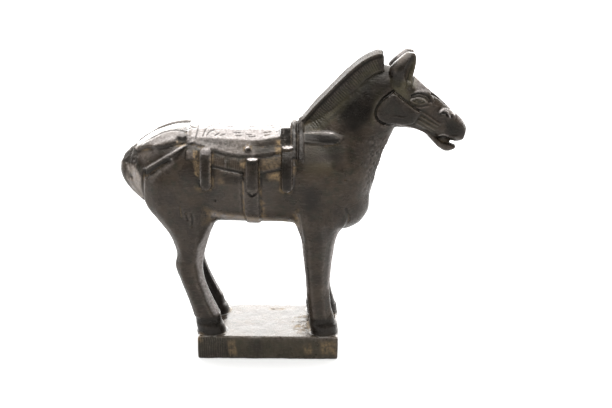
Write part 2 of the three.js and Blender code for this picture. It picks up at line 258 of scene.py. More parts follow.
# Those on both sides: eye, nostril, saddle button and the ledges over the two front straps
SIDE_BOSSES = (
    ((69.8, 6.8, 114.9), (2.5, 1.1, 0.85), 0.1),
    ((83.8, 3.8, 107.4), (3.2, 2.4, 2.6), 0.6),
    ((-7.8, 17.2, 94.6), (1.3, 1.4, 1.3), 0),
    ((-5.7, 18.8, 90), (2.8, 2.7, 0.9), 0),
    ((10, 15.4, 94.6), (2.7, 2.7, 0.9), 0),
)

# Saddle stations: x, crown height, then half width and height of shoulder, ridge and skirt
SEAT = (
    (-32, 102.4, 8, 101.6, 13.2, 98.8, 16.2, 94.4),
    (-25, 102.5, 8, 101.6, 13.5, 98.6, 16.8, 93.4),
    (-16, 102.5, 8, 101.5, 13.8, 98.2, 17, 92.8),
    (-6, 102.4, 8, 101.4, 13.9, 97.8, 17.2, 92),
    (0, 102.3, 8, 101.3, 13.8, 98.4, 17, 92),
    (7.2, 102, 7.6, 101.2, 13, 99.6, 16.6, 92.6),
)
POMMEL = (
    (7, 103.4, 9.6, 103.3, 12.2, 102.8, 15, 94.8),
    (9.2, 103.6, 9.6, 103.5, 12.4, 103, 15.2, 94.8),
    (11.4, 103.6, 9.4, 103.5, 12.2, 103, 15.1, 94.8),
)
# Turn shares at which a saddle's cross-section has its corners
SADDLE_SHARES = (0, 0.12, 0.25, 0.4, 0.5)

# The mane's top edge in side view, from the withers to the poll
CREST = (
    (16.4, 104.6),
    (19, 107.6),
    (22.6, 112),
    (27.2, 116.8),
    (31.8, 121.6),
    (37.8, 127.6),
    (44, 132.7),
    (50, 135.7),
    (53, 136),
)
# Depth below the crest, and the half width added there, down the mane's wall
MANE_WALL = ((0, 0), (1.4, 0.1), (8, 0.4))
# Turn shares at which the mane's cross-section has its corners
MANE_TURNS = (0, 0.3, 0.42, 0.8, 1)
# Half width of the mane at the withers, and from a fifth of the way up
MANE_HALF = (4.2, 5.4)
# Distance between the mane's combed grooves
HAIR_PITCH = 1.2
# Points of the crest that places in the mane are measured from, and a depth far below them
CREST_POINTS = 160
FAR_BELOW = 99.0
# Most vertices that are measured from the crest at a time
BATCH = 4000

# Grid of the first skin, over the body, and of the last one, over all the pieces
BODY_GRID = 0.45
SKIN_GRID = 0.36
# Smoothing passes over each, and those that show where the skin is hollow
BODY_SMOOTHING = 90
SKIN_SMOOTHING = 3
HOLLOW_SMOOTHING = 24
# The skin keeps this far inside the solid's box.
BOX_MARGIN = 0.02
# Rounding of the slab's upright corners
SLAB_CORNER = 2

# Depth of the clay's finest pits, in metres
PIT_DEPTH = 0.0003
# Points that each pressed or painted line is drawn with
LINE_POINTS = 12
# Half widths from its middle at which a raised line and a painted one end
RIDGE_REACH = 3
PAINT_REACH = 2.5
# The line pressed along a flat shape's border: its way in from the soft edge, and half width
BORDER_GAP = 0.45
BORDER_HALF = 0.3
# Half width and height of the lines pressed into the seat
SEAT_CUT = (0.28, -0.32)
# Random values of the grain, and the large odd numbers that scatter its cells over them
GRAIN_VALUES = 4096
GRAIN_SCATTER = (73856093, 19349663, 83492791)

# Lower edges of the blanket and of the saddle flaps over it, in side view
BLANKET_FOOT = (
    (-36, 89.9),
    (-31, 89.4),
    (-24.6, 87.2),
    (-16.7, 85.6),
    (-9.3, 84.2),
    (-2, 84),
    (7, 85.8),
    (14, 87),
)
FLAP_FOOT = (
    (-36, 95.6),
    (-31, 94.8),
    (-24.2, 93),
    (-18, 91.5),
    (-12.3, 90.9),
    (-8.9, 90.7),
    (-3, 90.6),
    (8, 92),
)
# The crupper in top view: x, and the distance from the middle
CRUPPER_EDGE = ((-35, 8), (-40.4, 6.4), (-46.3, 6.2), (-51.5, 6.9), (-58, 6.8), (-62, 4.6))
CRUPPER_FOOT = ((-35, 14), (-40.4, 14), (-45.3, 14.2), (-50.2, 13), (-54.6, 11), (-60, 8.8))
CRUPPER_RIBS = (
    ((-35, 8), (-40.4, 6.4), (-46.3, 6.2), (-51.5, 6.9), (-58, 6.8)),
    ((-36, 10), (-40.4, 8.2), (-46.3, 7.9), (-51.5, 8.4), (-56.5, 8)),
)
CRUPPER_PAD = ((-50.4, 12.7), (-46, 12.8), (-41.4, 12.4))
BUCKLE = ((-40.2, 11.5), (-38.2, 12.3), (-36.2, 11.8), (-36, 14), (-40, 13.6))
BUCKLE_GROOVE = ((-40.2, 12.6), (-36, 13))
# Breeching, shoulder strap, girth strap and the panel behind the flap, in side view
BREECHING_TOP = ((-32.9, 98.1), (-38, 95.1), (-45.5, 90.6), (-50, 87.8), (-56, 84))
BREECHING_FOOT = ((-32.4, 96.4), (-37.4, 93.7), (-43, 88.8), (-49, 84.4), (-55.4, 79.6))
SHOULDER_TONGUE = (
    ((17, 99.6), (25, 100.7), (30.2, 100.8), (35.4, 98.7)),
    ((17, 95.8), (25, 95.2), (33.2, 96.2), (35.4, 98.5)),
)
HINGE_STRAP = ((-8.7, 90.3), (-2.7, 90.3), (-2.7, 75.6), (-5.8, 73.4), (-8.7, 75.6))
PANEL = ((-36, 89.9), (-31.3, 89.4), (-31.3, 93.4), (-36, 93.4))
# Height above all of the saddle, where the outlines of its cloths are closed
SADDLE_TOP = 106

# Lines that are both pressed in and painted with shade, and the slab's front, in side view
BROW_GROOVE = ((66.4, 117.3), (69.3, 118.2), (71.7, 117.9), (74.1, 116.6), (75.5, 114))
NOSE_GROOVE = ((75.6, 117.4), (77.4, 116.4), (80, 114.6), (82.4, 112.4))
CHEEK_FRONT = ((71.6, 109.8), (68.8, 111.3), (65.5, 113.8), (62.4, 116.2), (58, 119.4))
CHEEK_REAR = ((58, 119.4), (53.2, 116), (50.8, 112.4), (50, 109.6), (51.2, 106.6), (54.4, 104.4))
LEG_WRINKLE = ((-34.4, 63.6), (-33.9, 60.4), (-34.4, 57.2))
HINGE_TIP = ((-7.4, 74.4), (-6, 73.3), (-4.4, 74.4))
THIGH_MARK = ((-36.8, 64.2), (-36.2, 60.8))
SLAB_FRONT = ((-35, 0), (35, 0), (35, -12), (-35, -12))

# Lines pressed into or raised on the face, in side view: points, half width and height
FACE_LINES = (
    # Brow, lids and the folds below the eye
    (
        ((66.2, 118.4), (68.4, 119.3), (70.9, 119.2), (73.6, 118.4), (75.4, 116.8), (76.6, 114.2)),
        0.4,
        0.28,
    ),
    (BROW_GROOVE, 0.42, -0.8),
    (((66, 116.2), (69.4, 116.9), (71.8, 116.4), (73.6, 115.2), (74.6, 113.8)), 0.3, -0.5),
    (((65.8, 115.2), (67.6, 116), (69.7, 116.1), (71.8, 115.4), (73.4, 114.1)), 0.3, 0.42),
    (((65.8, 115), (67.8, 114), (69.9, 113.5), (71.8, 113.5), (73.4, 114)), 0.3, 0.42),
    (((68.2, 111.8), (70.7, 111.5), (74.4, 112)), 0.36, 0.3),
    (((67.4, 112.7), (70.7, 112.2), (74, 112.8)), 0.3, -0.25),
    # Nose
    (NOSE_GROOVE, 0.4, -0.35),
    # Jaw folds
    (((71, 109.6), (73.9, 107.6), (77.6, 104.9), (79.8, 103.4)), 0.4, 0.5),
    (((70.5, 107.6), (74, 105.3), (78.7, 102.5)), 0.4, 0.5),
    (((69.8, 106), (73, 103.8), (77.4, 100.8)), 0.4, 0.45),
    (((69, 104.5), (72.6, 102.3), (76.4, 99.8)), 0.4, 0.4),
    # Nostril
    (((79.7, 109.3), (81.2, 110.2), (82.7, 109.9)), 0.5, 0.9),
    (((83.2, 109), (84.1, 108), (84.5, 106.6)), 0.36, 0.8),
    (((85.3, 108.2), (86.2, 107.2), (86.6, 106)), 0.36, 0.6),
    (((80.4, 108.6), (82.3, 108.4), (83.2, 107.4)), 0.42, -0.8),
    # Lips
    (((79.7, 97.6), (81.9, 98.5), (84.6, 97.6), (88, 97.4)), 0.4, 0.45),
    (((79.6, 96.6), (83, 96.9)), 0.5, -0.6),
    # Jaw's edge and cheek
    (((57.8, 103.8), (65.9, 102.6), (70.6, 100.6), (75.3, 98.4)), 0.4, 0.35),
    (((58.2, 108.2), (62.8, 107.5)), 0.5, 0.2),
    (CHEEK_FRONT, 0.3, -0.25),
    (CHEEK_REAR, 0.55, -1),
    (((54.4, 104.4), (58.6, 103.8), (64, 103.4), (68, 104)), 0.3, -0.4),
    # Ear
    (((63.6, 121), (64.6, 126), (66, 131)), 0.35, -0.3),
    (((65.2, 121), (66.2, 126), (67.4, 131)), 0.35, 0.3),
    (((66.6, 121.4), (67.6, 125)), 0.3, -0.3),
)
# The same on the body, tail and plinth
BODY_LINES = (
    # Tail's front edge, girth strap's edges and the tip of the hinged strap
    (((-55.7, 84), (-57, 77.3), (-57.4, 70), (-58.4, 66)), 0.7, -0.7),
    (((-10.6, 84), (-10.4, 64.4), (-9, 56)), 0.5, -0.55),
    (((-1.8, 82), (-1.9, 56)), 0.4, -0.3),
    (HINGE_TIP, 0.45, -0.6),
    # Folds of the fore leg and the chest, and the blanket's hem
    (((14.2, 66), (15.4, 60), (16.2, 54), (17, 48)), 0.6, -0.4),
    (((37, 66), (38.6, 60), (36.4, 54)), 0.8, -0.4),
    (((-24.4, 86.6), (-16.7, 85), (-10, 83.6)), 0.35, -0.35),
    # Hock and thigh
    (((-46, 40), (-42, 37.6), (-37, 37.6)), 1.2, -0.2),
    (THIGH_MARK, 0.4, -0.4),
    (LEG_WRINKLE, 0.4, -0.5),
    (((-39.4, 68), (-38.8, 62)), 0.4, -0.3),
)
# The eye in side view: middle x and z, half length and half height
EYE = (69.8, 114.8, 2.1, 0.8)
# Small pits: x, z, radius and depth
PITS = (
    (-23.1, 70.3, 0.4, 0.9),
    (36.6, 80.2, 0.5, 0.5),
    (-63.4, 78, 0.8, 0.7),
    (6, -0.6, 0.6, 0.5),
    (-7.5, 94.2, 0.6, 0.7),
    (-2.7, 61.4, 0.6, 0.5),
    (85.1, 107.2, 0.45, 0.6),
    (17.4, 89.4, 0.4, 0.4),
)
# Marks pressed into the seat, in top view: x and the distance from the middle
SEAT_MARKS = (
    # Short dents on the seat
    ((-18.8, 5.4), (-14.8, 5.2)),
    ((-7.6, 5.3), (-5, 5.1)),
    ((0.1, 3.1), (3.9, 3.7)),
    ((0.8, 5.4), (3.9, 5.3)),
    ((-14.3, 10.2), (-11.6, 10.1)),
    ((-13.5, 11.7), (-11.2, 11.7)),
    ((-8.6, 11), (-6.6, 10.9)),
    ((-7.4, 12), (-4.9, 11.9)),
    ((-0.7, 10), (2.4, 9.5)),
    ((-0.3, 11.7), (1.7, 11.1)),
    ((5, 9.5), (5.3, 9.5)),
    # Folds at its rear end
    ((-31.3, 0), (-31.2, 8), (-31.8, 13.4)),
    ((-35.6, 5.2), (-33.8, 7), (-32.4, 7.2)),
    ((-28.6, 12.4), (-27.8, 9), (-26.4, 6.2), (-24.4, 3.4)),
    ((-26.8, 12), (-25.8, 9.8), (-23.8, 8.8)),
    ((-23, 11.8), (-21.4, 10.6)),
    ((-20.6, 11.8), (-18.6, 11)),
    ((-24, 3.2), (-21.7, 2.4)),
)

# Dirt on the slab's top, by a hoof and at the edge: middle x and y, and half sizes
SLAB_DIRT = ((16.4, -4, 5.5, 12), (3, 12.6, 5, 1.6))
# Ledges over the front straps, painted with a highlight where they face up: middle x, half length,
# height, and how far out they start
LEDGES = ((-5.7, 2.9, 90.4, 19.2), (10, 2.7, 95, 15.6))
# Pale places with longer outlines in side view: the nose, where a highlight is painted, and the rubbed
# tail and hind leg's front facet
NOSE_TOP = (
    (66.4, 122.6),
    (68.6, 119.8),
    (73.4, 119),
    (77.4, 116.4),
    (78.6, 117),
    (74, 122),
    (68, 127),
)
TAIL_STRIP = (
    (-65, 83.8),
    (-61, 84.4),
    (-58, 80),
    (-57.4, 74),
    (-58.6, 66),
    (-61, 66),
    (-64, 72),
    (-66, 77),
)
LEG_FACET = (
    (-26, 56),
    (-32.2, 46.3),
    (-33.6, 37.7),
    (-32.2, 27.8),
    (-29.1, 17.4),
    (-26, 10),
    (-22, 9),
    (-26, 17),
    (-29, 28),
    (-29.6, 37),
    (-28, 46),
    (-23, 56),
)
# Painted patches of each kind in side view: outline, softness and strength
PATCHES = {
    "earth": (
        # Tail
        (TAIL_STRIP, 0.9, 0.35),
        # Rump and its straps
        (((-41.2, 97), (-36, 97.4), (-36.6, 95.4), (-39.4, 94.8)), 0.4, 0.9),
        # Saddle, blanket and their straps
        (((-32.8, 93.6), (-30.6, 93.6), (-30.6, 82), (-31.8, 83.4)), 0.4, 1),
        (((5, 97.8), (7.2, 97.8), (7.2, 91.6), (4.8, 92)), 0.6, 0.9),
        (((-1.4, 90), (6.8, 91.2), (6.8, 86.6), (-1.4, 85)), 0.9, 0.35),
        (((0.4, 83), (6.8, 84.4), (6.8, 80.6), (2.6, 81)), 0.7, 0.9),
        (((-21.4, 81), (-19.4, 81), (-19, 78.6), (-21, 79)), 0.5, 0.5),
        (((-31.6, 78), (-29.2, 76.4), (-29.4, 74.4), (-32, 76)), 0.6, 0.7),
        (((-11.2, 89), (-9, 89), (-9, 86.4), (-11.2, 86.6)), 0.5, 0.8),
        (((6.6, 77.6), (9.2, 75.2), (8.6, 74.2), (6.4, 75.6)), 0.5, 0.7),
        # Belly and girth
        (((-2.4, 71), (-0.4, 70), (0, 60), (-2.4, 60)), 0.5, 0.75),
        # Hind leg and flank
        (((-28.6, 67), (-26, 66), (-21, 62), (-26, 58), (-29.6, 58)), 1.4, 0.5),
        # Fore leg and its top
        (((12.6, 63), (15, 66), (16.2, 60), (13.6, 58)), 0.9, 0.75),
        # Hooves and plinth
        (((-19.4, -2.4), (-16, -2.4), (-15, -9.4), (-18.6, -9.4)), 0.8, 0.9),
        (((17.6, -4.4), (20.6, -3.8), (22, -8.6), (18, -8.8)), 0.8, 0.8),
        (((25.6, -2.4), (33, -2.4), (33, -9), (26.4, -8.6)), 1.2, 0.9),
        (((-34.4, -0.2), (-31, -0.2), (-31.6, -3), (-34.4, -3)), 0.6, 0.7),
    ),
    "grey": (
        # Tail
        (TAIL_STRIP, 0.8, 0.78),
        # Rump and its straps: painted highlight on the rump's upward slope
        (((-58.6, 93), (-51, 93), (-46, 93.6), (-51, 89.4), (-55.6, 86.2), (-59, 88.6)), 1.6, 0.12),
        # Saddle, blanket and their straps
        (((-36, 106), (-6, 106), (-4, 91), (-12, 90), (-24, 92.6), (-36, 95.4)), 1.4, 0.23),
        (((-36, 93.4), (-31.3, 93.4), (-31.3, 89.6), (-36, 89.9)), 0.4, 0.05),
        # Painted highlight on the rear strap's raised top
        (((-29.6, 95.2), (-24.4, 95.2), (-24.4, 92.4), (-29.6, 92.4)), 0.4, 0.5),
        # Bands and shoulder
        (((23, 94.5), (30, 94), (29.4, 88), (22.4, 89.6)), 2, 0.08),
        # Neck, mane and chest
        (((46, 70), (56, 98), (50, 98), (42, 70)), 3, 0.1),
        # Head: painted highlight on the nose
        (NOSE_TOP, 0.6, 0.35),
        # Belly and girth
        (((-26, 80), (4, 80), (4, 60), (-26, 62)), 5, 0.045),
        # Hind leg and flank
        (LEG_FACET, 0.7, 0.72),
        (((-52, 78), (-34, 78), (-34, 40), (-46, 48)), 5, 0.025),
        # Fore leg and its top
        (((25.6, 58), (25.8, 42), (26.6, 21), (29, 21), (29.2, 42), (29, 58)), 1.2, 0.07),
    ),
    "dark": (
        # Tail
        (((-68.4, 84), (-66.6, 91), (-62.5, 92.4), (-59.4, 91), (-59.4, 86), (-63.4, 84.6)), 0.6, 0.85),
        (((-67, 82.6), (-63.6, 80.6), (-62, 78.4), (-65, 76.6)), 0.6, 0.5),
        (((-64, 78.6), (-62.3, 79.4), (-62.5, 77)), 0.3, 0.9),
        # Saddle, blanket and their straps
        (((7, 106), (11.6, 106), (11.6, 95.4), (7, 95.4)), 0.4, 1),
        (((-6, 97), (5, 98), (5, 92), (-4, 91.4)), 1.5, 0.5),
        (((-29.4, 91.6), (-25, 91.6), (-25.4, 77), (-28.8, 77)), 0.4, 0.55),
        (((-8.2, 88.8), (-3.4, 88.8), (-3.4, 77), (-8.2, 77)), 0.4, 0.5),
        (((7.4, 93.8), (11.8, 93.8), (12.2, 82), (11.8, 76.5), (8.4, 76.5), (7.4, 84)), 0.4, 0.8),
        # Painted shade below the blanket's hem
        (((-18.6, 82.6), (-9.8, 82.6), (-9.8, 79), (-18.6, 79)), 1, 0.45),
        # Bands and shoulder
        (((11.8, 108), (17.6, 108), (17.6, 90), (11.8, 90)), 0.5, 0.9),
        (((17.6, 99.6), (31, 100), (34.4, 98.4), (32, 96.4), (17.6, 95.8)), 0.4, 0.95),
        # Painted shade on the shoulder below the tongue
        (((17.8, 95.4), (34, 95.4), (35, 90), (18, 88)), 1.6, 0.6),
        # Neck, mane and chest
        (((17.8, 106), (24, 108), (30, 106), (26, 100.6), (17.8, 100.4)), 1, 0.5),
        (((38, 118), (47, 127), (51, 121), (50, 111), (43, 100), (34, 100), (33, 109)), 4, 1),
        (((44, 124), (52, 128), (58, 123), (57, 120.4), (52, 116.4), (48, 111), (42, 112)), 2, 0.85),
        (((50, 137), (54, 137), (54, 128), (51.4, 128)), 0.8, 0.7),
        # Head
        (((56, 122), (60, 131), (66, 137), (67, 134), (63, 128), (61, 121)), 0.8, 0.7),
        # Painted shade in the temple hollow at the ear's base
        (((64.4, 123.6), (67.4, 122), (66, 119.4), (64, 120)), 1, 0.6),
        (CHEEK, 0.4, 0.6),
        (((82.4, 105.4), (91.6, 103.6), (92.4, 96.6), (83, 98)), 1.6, 0.75),
        # Fore leg and its top
        (((18, 77), (26, 76), (24, 66), (18, 66)), 2.4, 0.65),
        # Hooves and plinth
        (((-37, 9), (34, 9), (34, 0), (-37, 0)), 1.5, 0.85),
        (SLAB_FRONT, 0.3, 0.12),
    ),
    "olive": (
        # Bands and shoulder
        (((20, 96), (32, 95), (31, 84), (19, 84)), 3, 0.4),
        # Neck, mane and chest
        (((18, 104), (50, 133), (53, 126), (24, 100), (18, 99)), 1.6, 0.9),
        (((50, 120), (54, 121), (50.4, 112), (49.6, 104), (47.4, 106)), 1, 0.6),
        (((17, 103), (24, 103), (22, 100.4), (17, 100.4)), 1, 0.7),
        # Head
        (((56, 125), (63.8, 124.4), (64.6, 118.6), (66.4, 112.4), (62, 116.2), (58, 119.6)), 1.4, 0.85),
        (((66.6, 116), (73, 116), (73.4, 113.4), (67, 113)), 0.8, 0.6),
        (((71, 109), (80, 103), (76, 99), (69, 104)), 1.2, 0.4),
        (((62.4, 120.6), (69, 121), (69.4, 134), (66, 132)), 0.8, 0.9),
        # Hooves and plinth
        (SLAB_FRONT, 0.3, 0.35),
    ),
}
# Painted lines of each kind in side view: points, half width and strength
STROKES = {
    "dark": (
        # Tail: painted shade in the crease along its front edge
        (((-56, 83), (-57.4, 76), (-58, 66)), 0.5, 0.7),
        # Rump and its straps: painted shade in the panel's border, under the crupper's edge and on the
        # breeching's lower half
        (((-36, 89.6), (-36, 93.6)), 0.4, 0.6),
        (((-50.4, 94.4), (-45.3, 95.4), (-40.8, 96.8)), 0.45, 0.8),
        (((-55.4, 81.8), (-49, 86), (-44.4, 89.2)), 1.5, 1),
        (((-33.2, 96.6), (-38, 93.9), (-43.6, 90)), 0.5, 1),
        # Saddle, blanket and their straps: painted shadow under the flap and the blanket, and painted
        # shade under the button
        (FLAP_FOOT[2:], 0.5, 0.9),
        (BLANKET_FOOT[2:5], 0.3, 0.8),
        (((-7.9, 94.3), (-7.1, 94.2)), 0.6, 1),
        # Bands and shoulder: painted shade between the bands and along the rear band's edge
        (((14.7, 88), (14.8, 106)), 0.3, 0.8),
        (((11.5, 88), (11.6, 94.6)), 0.35, 0.7),
        # Head: painted shade in the grooves, the nostril and the mouth; the pupil is dark paint
        (BROW_GROOVE, 0.5, 1),
        (NOSE_GROOVE, 0.45, 0.8),
        (((80.6, 108.6), (82.3, 108.4), (83.2, 107.4)), 0.5, 0.9),
        (((84.9, 108), (85.3, 106.6)), 0.4, 0.9),
        (((79.6, 96.4), (83, 96.8), (86, 95)), 0.8, 0.95),
        (CHEEK_REAR, 0.6, 1),
        (CHEEK_FRONT, 0.35, 0.8),
        (((66.4, 116.2), (69.6, 117.2), (71.8, 116.8), (73.6, 115.6), (74.6, 114)), 0.26, 0.8),
        (((54.6, 104.4), (60, 103.7), (67, 104)), 0.3, 0.8),
        (((69.2, 114.8), (70.4, 114.7)), 0.5, 0.9),
        # Belly and girth: painted shade in the groove round the hinged strap's tip
        (HINGE_TIP, 0.45, 1),
        # Hind leg and flank: painted shade in the pressed thigh marks and the pit
        (THIGH_MARK, 0.4, 0.8),
        (LEG_WRINKLE, 0.4, 0.8),
        (((-23.2, 70.3), (-23, 70.3)), 0.38, 1),
        # Hooves and plinth
        (((-34, 0.3), (34, 0.3)), 0.3, 0.5),
        (((-34, -11.6), (34, -11.6)), 0.4, 0.9),
    ),
    "earth": (
        # Saddle, blanket and their straps
        (((-2.6, 88), (-2.6, 76)), 0.28, 0.6),
        (((-24.6, 91), (-24.6, 79)), 0.25, 0.45),
        # Bands and shoulder
        (((17.6, 100.4), (20, 101), (25, 101.4)), 0.35, 0.6),
        # Neck, mane and chest
        (((17, 102.4), (20, 104)), 1, 0.35),
        # Belly and girth
        (((-10.2, 80), (-10, 72), (-10, 64.8), (-9, 58)), 0.42, 1),
        (
            ((-24.5, 62.9), (-18.4, 61.2), (-10.7, 60.4), (-2.9, 58.8), (4.7, 57.2), (14.2, 57.6)),
            2,
            0.7,
        ),
        # Fore leg and its top
        (((15.2, 63), (16.2, 57), (16.6, 52)), 0.5, 0.4),
    ),
    "grey": (
        # Tail
        (((-56, 81), (-56.4, 74), (-57, 68)), 0.5, 0.4),
        # Rump and its straps
        # Painted highlight along the breeching's upper edge
        (BREECHING_TOP, 0.32, 0.75),
        (((-41.8, 88.6), (-48.1, 83.4), (-52.2, 79.2)), 0.9, 0.12),
        (((-42.6, 89.8), (-45.8, 90.4)), 0.4, 0.8),
        # Saddle, blanket and their straps
        # Painted highlight on the breeching's upper half, at its front end
        (((-33, 97.4), (-38, 94.6)), 0.4, 0.8),
        # Painted highlight on the saddle button's top
        (((-9, 94.7), (-8.5, 95.5), (-7.4, 95.8)), 0.4, 1),
        (((-25.2, 91), (-25.2, 79)), 0.25, 0.3),
        (((-29.3, 92.6), (-29.3, 79)), 0.25, 0.4),
        (((-8.4, 89), (-8.4, 77)), 0.25, 0.25),
        (((-18, 89.4), (-18, 86.4)), 0.3, 0.2),
        # Bands and shoulder
        (((13, 93.4), (13, 79), (10.4, 75.6)), 0.3, 0.4),
        (((12.4, 89.8), (12.4, 104)), 0.25, 0.5),
        (((17.4, 88.8), (17.4, 105)), 0.3, 0.6),
        # Painted highlight along the shoulder tongue's top edge
        (((18, 99.8), (25, 100.7), (31, 100.6)), 0.4, 0.6),
        (((24, 95.4), (31, 96)), 0.4, 0.3),
        (((15, 90), (15, 104)), 0.25, 0.4),
        # Head: painted highlights along the nose, brow, lids, nostril rims, jaw's edge and upper lip
        (((75.6, 118.2), (80, 114.6), (84, 110.8), (88, 107.2), (91, 103)), 0.6, 0.5),
        (((68, 119.1), (70.9, 119.2), (73.4, 118.4)), 0.35, 0.7),
        (((66, 115.2), (67.6, 116), (69.7, 116.1), (71.8, 115.4), (73.2, 114.2)), 0.25, 0.3),
        (((79.9, 109.4), (81.2, 110.2), (82.6, 109.9)), 0.5, 1),
        (((83.3, 108.8), (84.1, 107.9), (84.4, 106.8)), 0.3, 0.9),
        (((56.6, 104.2), (61, 103.2), (66.4, 101.8), (71, 99.8)), 0.4, 0.6),
        (((79.9, 97.6), (81.9, 98.4), (84, 97.8)), 0.35, 0.6),
        # Belly and girth
        # Painted light thrown up by the floor along the belly's lower edge
        (((-24.5, 62.3), (-18.4, 60.8), (-10.7, 60), (-2.9, 58.6), (4.7, 56), (14.2, 56.4)), 1.6, 0.8),
        (((-10.2, 80), (-10, 72), (-10, 64.8), (-9, 57)), 0.46, 0.85),
        # Hind leg and flank
        (((-25.4, 57), (-28.6, 51), (-30.2, 45), (-30.8, 36)), 0.8, 0.8),
        # Fore leg and its top
        (((15, 63), (16, 57), (17, 46), (18.2, 32), (19.2, 22)), 0.7, 0.6),
        # Painted highlight along the fore leg's front edge
        (((34, 55), (31.4, 46), (30.2, 36), (29.6, 24)), 0.9, 0.7),
    ),
}


def curve(rows, at):
    """Points of a smooth curve through the rows, with at counted in rows."""
    rows = np.asarray(rows, float)
    first = np.clip(np.floor(at).astype(int), 0, len(rows) - 2)
    share = (at - first)[:, None]
    before, start, end, after = (rows[np.clip(first + k, 0, len(rows) - 1)] for k in (-1, 0, 1, 2))
    leave = (end - before) / 2
    arrive = (after - start) / 2
    return (
        (2 * start - 2 * end + leave + arrive) * share**3
        + (-3 * start + 3 * end - 2 * leave - arrive) * share**2
        + leave * share
        + start
    )


def smooth_line(points, count=24):
    """A line of points as a smooth one with this many points."""
    return curve(points, np.linspace(0, len(points) - 1, count))


def cornered(turn, corners):
    """Where a ray at each turn leaves the outline that has these corners."""
    rays = np.stack([np.cos(turn), np.sin(turn)], axis=1)
    reach = np.ones(len(turn))
    corners = np.asarray(corners, float)
    for start, end in zip(corners, np.roll(corners, -1, axis=0)):
        run = end - start
        across = rays[:, 0] * run[1] - rays[:, 1] * run[0]
        across = np.where(np.abs(across) < 1e-9, 1e-9, across)
        out = (start[0] * run[1] - start[1] * run[0]) / across
        share = (start[0] * rays[:, 1] - start[1] * rays[:, 0]) / across
        reach = np.where((out > 0) & (share > -1e-6) & (share < 1 + 1e-6), out, reach)
    return rays * reach[:, None]


def rounded(turn, square):
    """An oval; square above 2 makes it fuller at its corners."""
    ring = np.stack([np.cos(turn), np.sin(turn)], axis=1)
    return np.sign(ring) * np.abs(ring) ** (2 / square)


def grain(points, size, seed):
    """Smooth random values from -1 to 1 that change over about this size."""
    values = np.random.default_rng(seed).uniform(-1, 1, GRAIN_VALUES)
    cell = np.floor(points / size).astype(np.int64)
    share = points / size - cell
    share = share * share * (3 - 2 * share)
    total = np.zeros(len(points))
    for corner in itertools.product((0, 1), repeat=3):
        spot = np.bitwise_xor.reduce((cell + corner) * GRAIN_SCATTER, axis=1) % GRAIN_VALUES
        total += np.prod(np.where(corner, share, 1 - share), axis=1) * values[spot]
    return total


def fade(value, low, high):
    """0 below low, 1 above high, and smooth between them."""
    share = np.clip((value - low) / (high - low), 0, 1)
    return share * share * (3 - 2 * share)


def between(value, start, full, waning, end):
    """1 from full to waning, 0 before start and after end, and smooth between them."""
    return fade(value, start, full) * (1 - fade(value, waning, end))


def mark(distance, width):
    """A soft line: 1 in its middle and nearly 0 at twice its half width."""
    return np.exp(-((distance / width) ** 2))


def oval(first, second, row):
    """Distance from an oval's middle, 1 on the oval; row holds its middle and half sizes."""
    middle_first, middle_second, half_first, half_second = row
    return np.hypot((first - middle_first) / half_first, (second - middle_second) / half_second)


def line_distance(points, line):
    """Distance of each point from a line of points."""
    line = np.asarray(line, float)
    nearest = np.full(len(points), 1e9)
    for start, end in zip(line[:-1], line[1:]):
        run = end - start
        share = np.clip((points - start) @ run / max(run @ run, 1e-12), 0, 1)
        nearest = np.minimum(nearest, np.linalg.norm(points - start - share[:, None] * run, axis=1))
    return nearest


def depth_inside(points, outline):
    """How far each point lies inside a closed outline; below 0 outside it."""
    outline = np.asarray(outline, float)
    closed = np.vstack([outline, outline[:1]])
    inside = np.zeros(len(points), bool)
    for start, end in zip(closed[:-1], closed[1:]):
        spans = (points[:, 1] > start[1]) != (points[:, 1] > end[1])
        rise = end[1] - start[1] or 1e-12
        edge = start[0] + (points[:, 1] - start[1]) * (end[0] - start[0]) / rise
        inside ^= spans & (points[:, 0] < edge)
    distance = line_distance(points, closed)
    return np.where(inside, distance, -distance)


def within(points, shape, margin=0.0):
    """Indices of the points in the box round a shape, widened by a margin."""
    shape = np.asarray(shape, float)
    inside = (points > shape.min(0) - margin) & (points < shape.max(0) + margin)
    return np.flatnonzero(inside.all(axis=1))


def select_only(piece):
    """Selects one piece and makes it the active one."""
    bpy.ops.object.select_all(action="DESELECT")
    piece.select_set(True)
    bpy.context.view_layer.objects.active = piece


def apply_modifier(piece, kind, **settings):
    """Adds a modifier with its settings and applies it."""
    select_only(piece)
    bpy.ops.object.modifier_add(type=kind)
    modifier = piece.modifiers[-1]
    for name, value in settings.items():
        setattr(modifier, name, value)
    bpy.ops.object.modifier_apply(modifier=modifier.name)


def coordinates(piece):
    """The places of a piece's vertices."""
    co = np.empty(len(piece.data.vertices) * 3, np.float32)
    piece.data.vertices.foreach_get("co", co)
    return co.reshape(-1, 3).astype(float)


def place(piece, co):
    """Moves a piece's vertices to new places."""
    piece.data.vertices.foreach_set("co", co.astype(np.float32).ravel())
    piece.data.update()


def from_above(co):
    """Each point in top view: x, and the distance from the middle."""
    return np.stack([co[:, 0], np.abs(co[:, 1])], axis=1)


def outward(piece):
    """Unit vectors that point out of the skin at each vertex."""
    normals = np.empty(len(piece.data.vertices) * 3, np.float32)
    piece.data.vertex_normals.foreach_get("vector", normals)
    return normals.reshape(-1, 3).astype(float)


